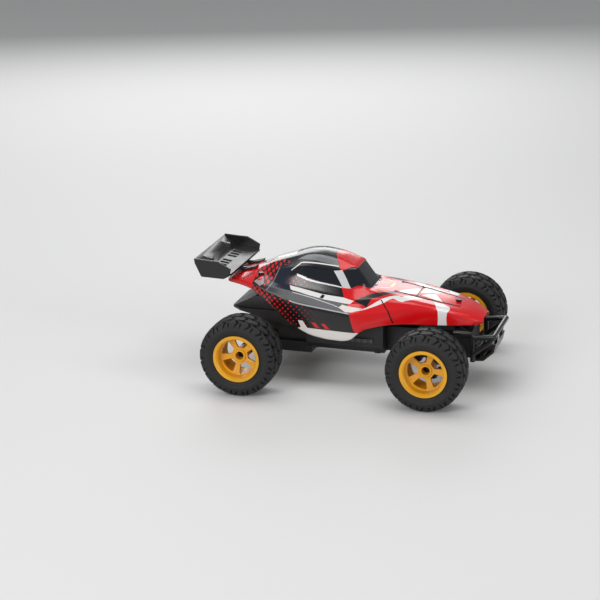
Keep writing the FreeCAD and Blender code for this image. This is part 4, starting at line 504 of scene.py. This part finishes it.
inner_abs, inner_tree, inner_shader = finish_of("shell_inside", "101012", 0.55)
grain = node(inner_tree, "ShaderNodeTexNoise", {"Scale": 900.0, "Detail": 2.0}).outputs["Fac"]
inner_bump = lies_on(inner_tree, "ShaderNodeBump", {
    "Strength": 0.3, "Distance": 0.0002, "Height": grain})
inner_tree.links.new(inner_bump, inner_shader.inputs["Normal"])
shell_mesh.materials.append(gloss)
shell_mesh.materials.append(inner_abs)
wall = painted_shell.modifiers.new("wall", "SOLIDIFY")
wall.thickness = 1.2 * MM
wall.offset = -1.0
wall.material_offset = 1
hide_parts("body_shell")
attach(painted_shell, "chassis")

# ---- Shell screws ----
# Small black pan-head screws with a cross recess, one in the nose and two ahead of the wing.


def granular(name, base, rough, scale, bump, metal=0.0, coat=0.0, spread=0.12):
    """A moulded or turned surface: uneven roughness, slightly uneven colour and a fine grain."""
    material, tree, shader = finish_of(name, base, rough, metal, coat)
    where = node(tree, "ShaderNodeTexCoord").outputs["Object"]
    coarse = node(tree, "ShaderNodeTexNoise", {"Vector": where, "Scale": 45.0, "Detail": 5.0})
    fine = node(tree, "ShaderNodeTexNoise", {"Vector": where, "Scale": scale, "Detail": 2.0})
    shine = lies_on(tree, "ShaderNodeMapRange", {
        "Value": coarse.outputs["Fac"], "From Min": 0.3, "From Max": 0.7,
        "To Min": rough - spread / 2, "To Max": rough + spread / 2})
    tone = lies_on(tree, "ShaderNodeMapRange", {
        "Value": coarse.outputs["Fac"], "From Min": 0.3, "From Max": 0.7,
        "To Min": 0.86, "To Max": 1.1})
    shade = node(tree, "ShaderNodeVectorMath", {0: srgb(base)[:3], "Scale": tone}, operation="SCALE")
    relief = lies_on(tree, "ShaderNodeBump", {
        "Strength": bump, "Distance": 0.0002, "Height": fine.outputs["Fac"]})
    tree.links.new(shade.outputs[0], shader.inputs["Base Color"])
    tree.links.new(shine, shader.inputs["Roughness"])
    tree.links.new(relief, shader.inputs["Normal"])
    return material


def painted_node(material, *names):
    """The CAD pieces with these names, shown in a material."""
    for name in names:
        for held in frame["nodes"][name].material_slots:
            held.material = material


blackened = granular("blackened_steel", "26262a", 0.38, 1500.0, 0.2, metal=0.9)


def body_and_slot(name):
    """The body a CAD node rides on and its material slot."""
    record = frame["record"]
    body = next(b for b, nodes in record["behaviour"]["bodies"].items() if name in nodes)
    part = next(p for p in record["subparts"] if p["node"] == name)
    return body, part["material_slot"]


def stands_for(piece, *names):
    """A new piece takes the place and body of these CAD nodes."""
    body, material_slot = body_and_slot(names[0])
    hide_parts(*names)
    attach(piece, body)


def new_piece(name, work, material):
    """An object in the scene from a bmesh, shaded smooth between its sharp edges."""
    mesh = bpy.data.meshes.new(name)
    work.to_mesh(mesh)
    work.free()
    mesh.materials.append(material)
    mesh.shade_smooth()
    mesh.set_sharp_from_angle(angle=math.radians(38))
    piece = bpy.data.objects.new(name, mesh)
    bpy.context.scene.collection.objects.link(piece)
    return piece


def softened(name, radius, material):
    """A copy of a CAD piece with its sharp edges rounded, as a mould leaves them."""
    work = bmesh.new()
    work.from_mesh(frame["nodes"][name].data)
    bmesh.ops.remove_doubles(work, verts=work.verts, dist=2e-6)
    bmesh.ops.dissolve_limit(work, angle_limit=math.radians(1.5), verts=work.verts, edges=work.edges)
    bmesh.ops.recalc_face_normals(work, faces=work.faces)
    piece = new_piece(name + "_moulded", work, material)
    edge = piece.modifiers.new("rounded_edges", "BEVEL")
    edge.width = radius * MM
    edge.segments = 2
    edge.limit_method = "ANGLE"
    edge.angle_limit = math.radians(38)
    edge.use_clamp_overlap = True
    stands_for(piece, name)
    return piece


painted_node(blackened, "shell_screws", "chassis_cover_screws", "front_tower_screws",
             "front_arm_screws", "gearbox_screws", "battery_door_screw", "rear_wheel_screws",
             "front_wheel_screw_left", "front_wheel_screw_right")

# ---- Rear wing ----
# A black glass-filled nylon wing: a stepped plane with slots, clipped end plates and two
# struts moulded with their feet. Injection moulded, so every edge has a small radius.
wing_black = granular("satin_black_moulding", "0c0c0e", 0.34, 1200.0, 0.25, coat=0.1)
softened("rear_wing", 0.35, wing_black)
softened("wing_end_plates", 0.45, wing_black)
softened("wing_struts", 0.3, wing_black)

# ---- Tyres ----
# Hollow moulded rubber with soft sidewalls: two rows of interlocking blocks in the middle
# and a notched block on each shoulder, eighteen round the tyre.
PITCHES = 18
TYRE_R = 30.5
PITCH = 2 * math.pi * TYRE_R / PITCHES
GROOVE = 1.9
TREAD_DEEP = 2.7
CROWN_LINE = [(0.0, 30.5), (7.0, 30.35), (10.4, 30.0), (12.2, 29.2), (13.4, 27.9), (14.3, 26.0)]
CARCASS = [(17.0, 11.2), (18.6, 12.0), (19.4, 13.0), (20.8, 13.5), (21.4, 14.3), (24.0, 14.8),
           (25.6, 14.0), (26.7, 12.6), (27.5, 10.4), (27.8, 7.0), (27.85, 0.0)]


def crown_height(across):
    """Radius of the tread's outside at a distance from the tyre's middle."""
    for (ya, ra), (yb, rb) in zip(CROWN_LINE, CROWN_LINE[1:]):
        if ya <= abs(across) <= yb:
            return ra + (abs(across) - ya) / (yb - ya) * (rb - ra)
    return CROWN_LINE[-1][1]


def smoothed(points, times=2):
    """An open outline with its corners cut, again and again."""
    for turn in range(times):
        cut = [points[0]]
        for (ax, ay), (bx, by) in zip(points, points[1:]):
            cut += [(0.75 * ax + 0.25 * bx, 0.75 * ay + 0.25 * by),
                    (0.25 * ax + 0.75 * bx, 0.25 * ay + 0.75 * by)]
        points = cut + [points[-1]]
    return points


def spun(work, outline, steps):
    """A closed ring about the Y axis from (radius, y) points in millimetres."""
    verts = [work.verts.new((r * MM, y * MM, 0)) for r, y in outline]
    edges = [work.edges.new(pair) for pair in zip(verts, verts[1:] + verts[:1])]
    bmesh.ops.spin(work, geom=verts + edges, cent=(0, 0, 0), axis=(0, 1, 0),
                   angle=2 * math.pi, steps=steps, use_merge=True)


def tread_block(inner, outer, phase, notch):
    """Outline of one block, unrolled: along the tread and across it."""
    middle = (inner + outer) / 2
    end = PITCH - GROOVE
    lean = 2.6
    wave = 1.0
    points = [(0, inner), (end / 2, inner + wave), (end, inner), (end + lean, middle),
              (end, outer)]
    if notch:
        points += [(end / 2 + 0.6, outer), (end / 2 + 0.6, outer - 2.6),
                   (end / 2 - 0.6, outer - 2.6), (end / 2 - 0.6, outer)]
    else:
        points += [(end / 2, outer + wave)]
    points += [(0, outer), (lean, middle)]
    return [(s + phase * PITCH, y) for s, y in points]


def tyre_mesh():
    """One tyre about the Y axis, the middle of its tread at the origin."""
    work = bmesh.new()
    half = smoothed(CARCASS)
    spun(work, half + [(r, -y) for r, y in reversed(half)][1:], 120)
    bmesh.ops.recalc_face_normals(work, faces=work.faces)
    tread = bmesh.new()
    for side in (-1, 1):
        shift = 0.0 if side > 0 else 0.5
        for inner, outer, phase, notch in ((0.8, 6.8, 0.0, False), (8.9, 14.3, 0.5, True)):
            outline = tread_block(inner, outer, phase + shift, notch)
            foot = tread.faces.new([tread.verts.new((s, side * y, 0)) for s, y in outline])
            raised = bmesh.ops.extrude_face_region(tread, geom=[foot])["geom"]
            top = [v for v in raised if isinstance(v, bmesh.types.BMVert)]
            bmesh.ops.translate(tread, verts=top, vec=(0, 0, 1))
    bmesh.ops.recalc_face_normals(tread, faces=tread.faces)
    rim_edges = [e for e in tread.edges if all(v.co.z > 0.5 for v in e.verts)]
    bmesh.ops.bevel(tread, geom=rim_edges, offset=0.3, segments=2, profile=0.5,
                    affect="EDGES", material=-1)
    for i in range(1, 14):
        bmesh.ops.bisect_plane(tread, geom=tread.verts[:] + tread.edges[:] + tread.faces[:],
                               plane_co=(i * PITCH / 6, 0, 0), plane_no=(1, 0, 0))
    for across in (5.0, 9.6, 10.4, 11.3, 12.2, 13.4):
        for side in (-1, 1):
            bmesh.ops.bisect_plane(tread, geom=tread.verts[:] + tread.edges[:] + tread.faces[:],
                                   plane_co=(0, side * across, 0), plane_no=(0, 1, 0))
    for vert in tread.verts:
        along, across, lift = vert.co
        radius = crown_height(across) - TREAD_DEEP + TREAD_DEEP * lift
        turn = along / TYRE_R
        vert.co = Vector((radius * math.cos(turn), across, -radius * math.sin(turn))) * MM
    bmesh.ops.recalc_face_normals(tread, faces=tread.faces)
    one = bpy.data.meshes.new("tread_pitch")
    tread.to_mesh(one)
    tread.free()
    for i in range(PITCHES):
        before = len(work.verts)
        work.from_mesh(one)
        work.verts.ensure_lookup_table()
        turned = Matrix.Rotation(2 * math.pi * i / PITCHES, 3, "Y")
        bmesh.ops.rotate(work, verts=work.verts[before:], cent=(0, 0, 0), matrix=turned)
    bpy.data.meshes.remove(one)
    return work


rubber, rubber_tree, rubber_shader = finish_of("tyre_rubber", "1b1b1d", 0.72)
rubber_spot = node(rubber_tree, "ShaderNodeTexCoord").outputs["Object"]
dust = node(rubber_tree, "ShaderNodeTexNoise", {"Vector": rubber_spot, "Scale": 70.0, "Detail": 6.0})
pores = node(rubber_tree, "ShaderNodeTexNoise", {"Vector": rubber_spot, "Scale": 1400.0, "Detail": 2.0})
bloom = lies_on(rubber_tree, "ShaderNodeMapRange", {
    "Value": dust.outputs["Fac"], "From Min": 0.35, "From Max": 0.75, "To Min": 0.0, "To Max": 1.0})
rubber_colour = painted(rubber_tree, srgb("111113"), bloom, "1d1d1f")
rubber_rough = lies_on(rubber_tree, "ShaderNodeMapRange", {"Value": bloom, "To Min": 0.6, "To Max": 0.8})
rubber_bump = lies_on(rubber_tree, "ShaderNodeBump", {
    "Strength": 0.35, "Distance": 0.0002, "Height": pores.outputs["Fac"]})
rubber_tree.links.new(rubber_colour, rubber_shader.inputs["Base Color"])
rubber_tree.links.new(rubber_rough, rubber_shader.inputs["Roughness"])
rubber_tree.links.new(rubber_bump, rubber_shader.inputs["Normal"])


def wheel_centre(place, side):
    """Where a wheel stands, from its tyre's box."""
    low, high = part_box("%s_tyre_%s" % (place, side))
    return (Vector(low) + Vector(high)) / 2


def on_wheel(work, place, side, name, material):
    """A piece made about the Y axis, carried to its wheel; the right ones are mirrored."""
    if side == "right":
        bmesh.ops.scale(work, vec=(1, -1, 1), verts=work.verts)
        bmesh.ops.reverse_faces(work, faces=work.faces)
    bmesh.ops.translate(work, verts=work.verts, vec=wheel_centre(place, side))
    return new_piece("%s_%s_%s" % (name, place, side), work, material)


WHEELS = [(place, side) for place in ("front", "rear") for side in ("left", "right")]
for place, side in WHEELS:
    carcass = on_wheel(tyre_mesh(), place, side, "treaded_tyre", rubber)
    stands_for(carcass, "%s_tyre_%s" % (place, side))

# ---- Rims ----
# Golden-yellow moulded nylon: a stepped outer lip, a deep dish and a web of five spokes with
# round-cornered windows, and a boss with a pocket for the wheel screw.
BARREL = [(18.4, 13.0), (16.1, 13.0), (15.75, 12.2), (15.3, 11.9), (15.2, 6.6), (15.2, -12.4),
          (15.9, -13.0), (18.4, -13.0), (18.4, -11.5), (16.9, -11.4), (16.9, 11.4), (18.4, 11.5)]
BOSS = [(4.9, -9.0), (4.9, 3.9), (4.6, 4.2), (3.5, 4.2), (3.2, 3.9), (3.2, -3.4), (1.6, -3.4),
        (1.6, -9.0)]
WEB_MIDDLE = 2.2
WEB_RISE = 2.5
WEB_HALF = 1.2


def rounded_ring(corners, radius, steps=5):
    """A closed outline with each corner rounded."""
    ring = []
    count = len(corners)
    for i, corner in enumerate(corners):
        here = Vector(corner)
        back = (Vector(corners[i - 1]) - here).normalized()
        ahead = (Vector(corners[(i + 1) % count]) - here).normalized()
        half = back.angle(ahead) / 2
        run = radius / math.tan(half)
        centre = here + (back + ahead).normalized() * radius / math.sin(half)
        start = here + back * run - centre
        end = here + ahead * run - centre
        sweep = start.angle_signed(end)
        ring += [centre + Matrix.Rotation(-sweep * k / steps, 2) @ start for k in range(steps + 1)]
    return ring


def spoke_windows(angle):
    """The five openings between the spokes, as closed outlines in millimetres."""
    windows = []
    for i in range(5):
        middle = math.radians(72 * (i + 0.5) + angle)
        edge = math.radians(24.5)
        corners = [(6.9, -0.36), (6.9, 0.36)]
        arc = [(14.0, edge * k / 4) for k in (4, 3, 2, 1, 0, -1, -2, -3, -4)]
        outline = [(r * math.cos(a), r * math.sin(a)) for r, a in corners]
        outline += [(r * math.cos(a), r * math.sin(a)) for r, a in arc]
        turned = [Matrix.Rotation(middle, 2) @ Vector(p) for p in outline]
        windows.append(rounded_ring(turned, 0.9, 3))
    return windows


def flat_plate(outlines, half_thick, edge):
    """A plate in X and Y with openings, its edges rounded, as a mesh in millimetres."""
    curve = bpy.data.curves.new("plate_outline", "CURVE")
    curve.dimensions = "2D"
    curve.fill_mode = "BOTH"
    curve.extrude = half_thick - edge
    curve.bevel_depth = edge
    curve.bevel_resolution = 1
    curve.offset = -edge
    for outline in outlines:
        line = curve.splines.new("POLY")
        line.points.add(len(outline) - 1)
        for point, place in zip(line.points, outline):
            point.co = (place[0], place[1], 0, 1)
        line.use_cyclic_u = True
    holder = bpy.data.objects.new("plate_outline", curve)
    mesh = bpy.data.meshes.new_from_object(holder)
    bpy.data.objects.remove(holder)
    bpy.data.curves.remove(curve)
    return mesh


def circle(radius, steps):
    """A closed ring of points."""
    turns = [2 * math.pi * k / steps for k in range(steps)]
    return [(radius * math.cos(t), radius * math.sin(t)) for t in turns]


def rim_mesh(angle):
    """One rim about the Y axis, its outside towards +Y."""
    work = bmesh.new()
    spun(work, BARREL, 96)
    spun(work, BOSS, 48)
    bmesh.ops.recalc_face_normals(work, faces=work.faces)
    web = flat_plate([circle(15.5, 96), circle(3.9, 36)] + spoke_windows(angle), WEB_HALF, 0.35)
    before = len(work.verts)
    work.from_mesh(web)
    bpy.data.meshes.remove(web)
    work.verts.ensure_lookup_table()
    for vert in work.verts[before:]:
        x, z, y = vert.co
        dish = (math.hypot(x, z) - 4.9) / (15.3 - 4.9) * WEB_RISE
        vert.co = Vector((x, y + WEB_MIDDLE + dish, -z)) * MM
    return work


rim_yellow = granular("golden_nylon", "e0a010", 0.36, 1100.0, 0.15, coat=0.15)
for place, side in WHEELS:
    rim = on_wheel(rim_mesh(0 if place == "front" else 28), place, side, "spoked_rim", rim_yellow)
    stands_for(rim, "%s_rim_%s" % (place, side))

# ---- Front bumper ----
# One black moulding: two bent hoops, a cross bar and a curved skid plate on short brackets.
softened("front_bumper", 0.25, wing_black)

# ---- Chassis, towers and arms ----
# Matt black ABS mouldings with a fine spark texture and rounded edges.
chassis_black = granular("matt_black_abs", "0f0f11", 0.5, 1300.0, 0.4)
for name in ("chassis_tub", "chassis_cover", "battery_door", "rear_tower", "front_tower"):
    softened(name, 0.3, chassis_black)
for name in ("gearbox_case", "gear_cover", "motor_cover"):
    softened(name, 0.25, chassis_black)
for side in ("left", "right"):
    softened("front_lower_arm_" + side, 0.3, chassis_black)
    softened("front_upper_arm_" + side, 0.3, chassis_black)
painted_node(chassis_black, "steering_knuckle_left", "steering_knuckle_right", "steering_rack",
             "servo_horn", "steering_servo", "power_switch", "switch_slider")

# ---- Light strips ----
# A smoked diffuser along each side of the tub with a row of small lamps behind it, unlit.
strip, strip_tree, strip_shader = finish_of("smoked_diffuser", "2a2c30", 0.2)
strip_spot = node(strip_tree, "ShaderNodeTexCoord").outputs["Object"]
lamps = node(strip_tree, "ShaderNodeTexWave", {"Vector": strip_spot, "Scale": 62.0}, bands_direction="X")
strip_colour = painted(strip_tree, srgb("1c1d20"), lamps.outputs["Fac"], "3a3c42")
strip_tree.links.new(strip_colour, strip_shader.inputs["Base Color"])
painted_node(strip, "light_strip_left", "light_strip_right")

# ---- Drive, battery and board ----
# Plated steel shafts and motor can, turned brass pinion and bushes, cream nylon gears, two
# cells in blue shrink wrap and a green board, all hidden once the car is closed.
steel = granular("plated_steel", "aeb0b4", 0.3, 1500.0, 0.15, metal=1.0)
painted_node(steel, "rear_axle", "stub_axle_left", "stub_axle_right", "kingpin_left",
             "kingpin_right", "motor_shaft", "idler_pin", "drive_motor")
brass = granular("turned_brass", "c79a4a", 0.28, 1500.0, 0.15, metal=1.0)
painted_node(brass, "motor_pinion", "axle_bushes")
nylon = granular("cream_nylon", "ddd8c6", 0.45, 1200.0, 0.2)
painted_node(nylon, "axle_gear", "idler_gear", "rear_wheel_hexes")
wrap = granular("blue_shrink_wrap", "1d4f9c", 0.25, 900.0, 0.2, coat=0.3)
painted_node(wrap, "battery_pack")
board = granular("green_board", "1d6b3a", 0.4, 1100.0, 0.3)
painted_node(board, "circuit_board")
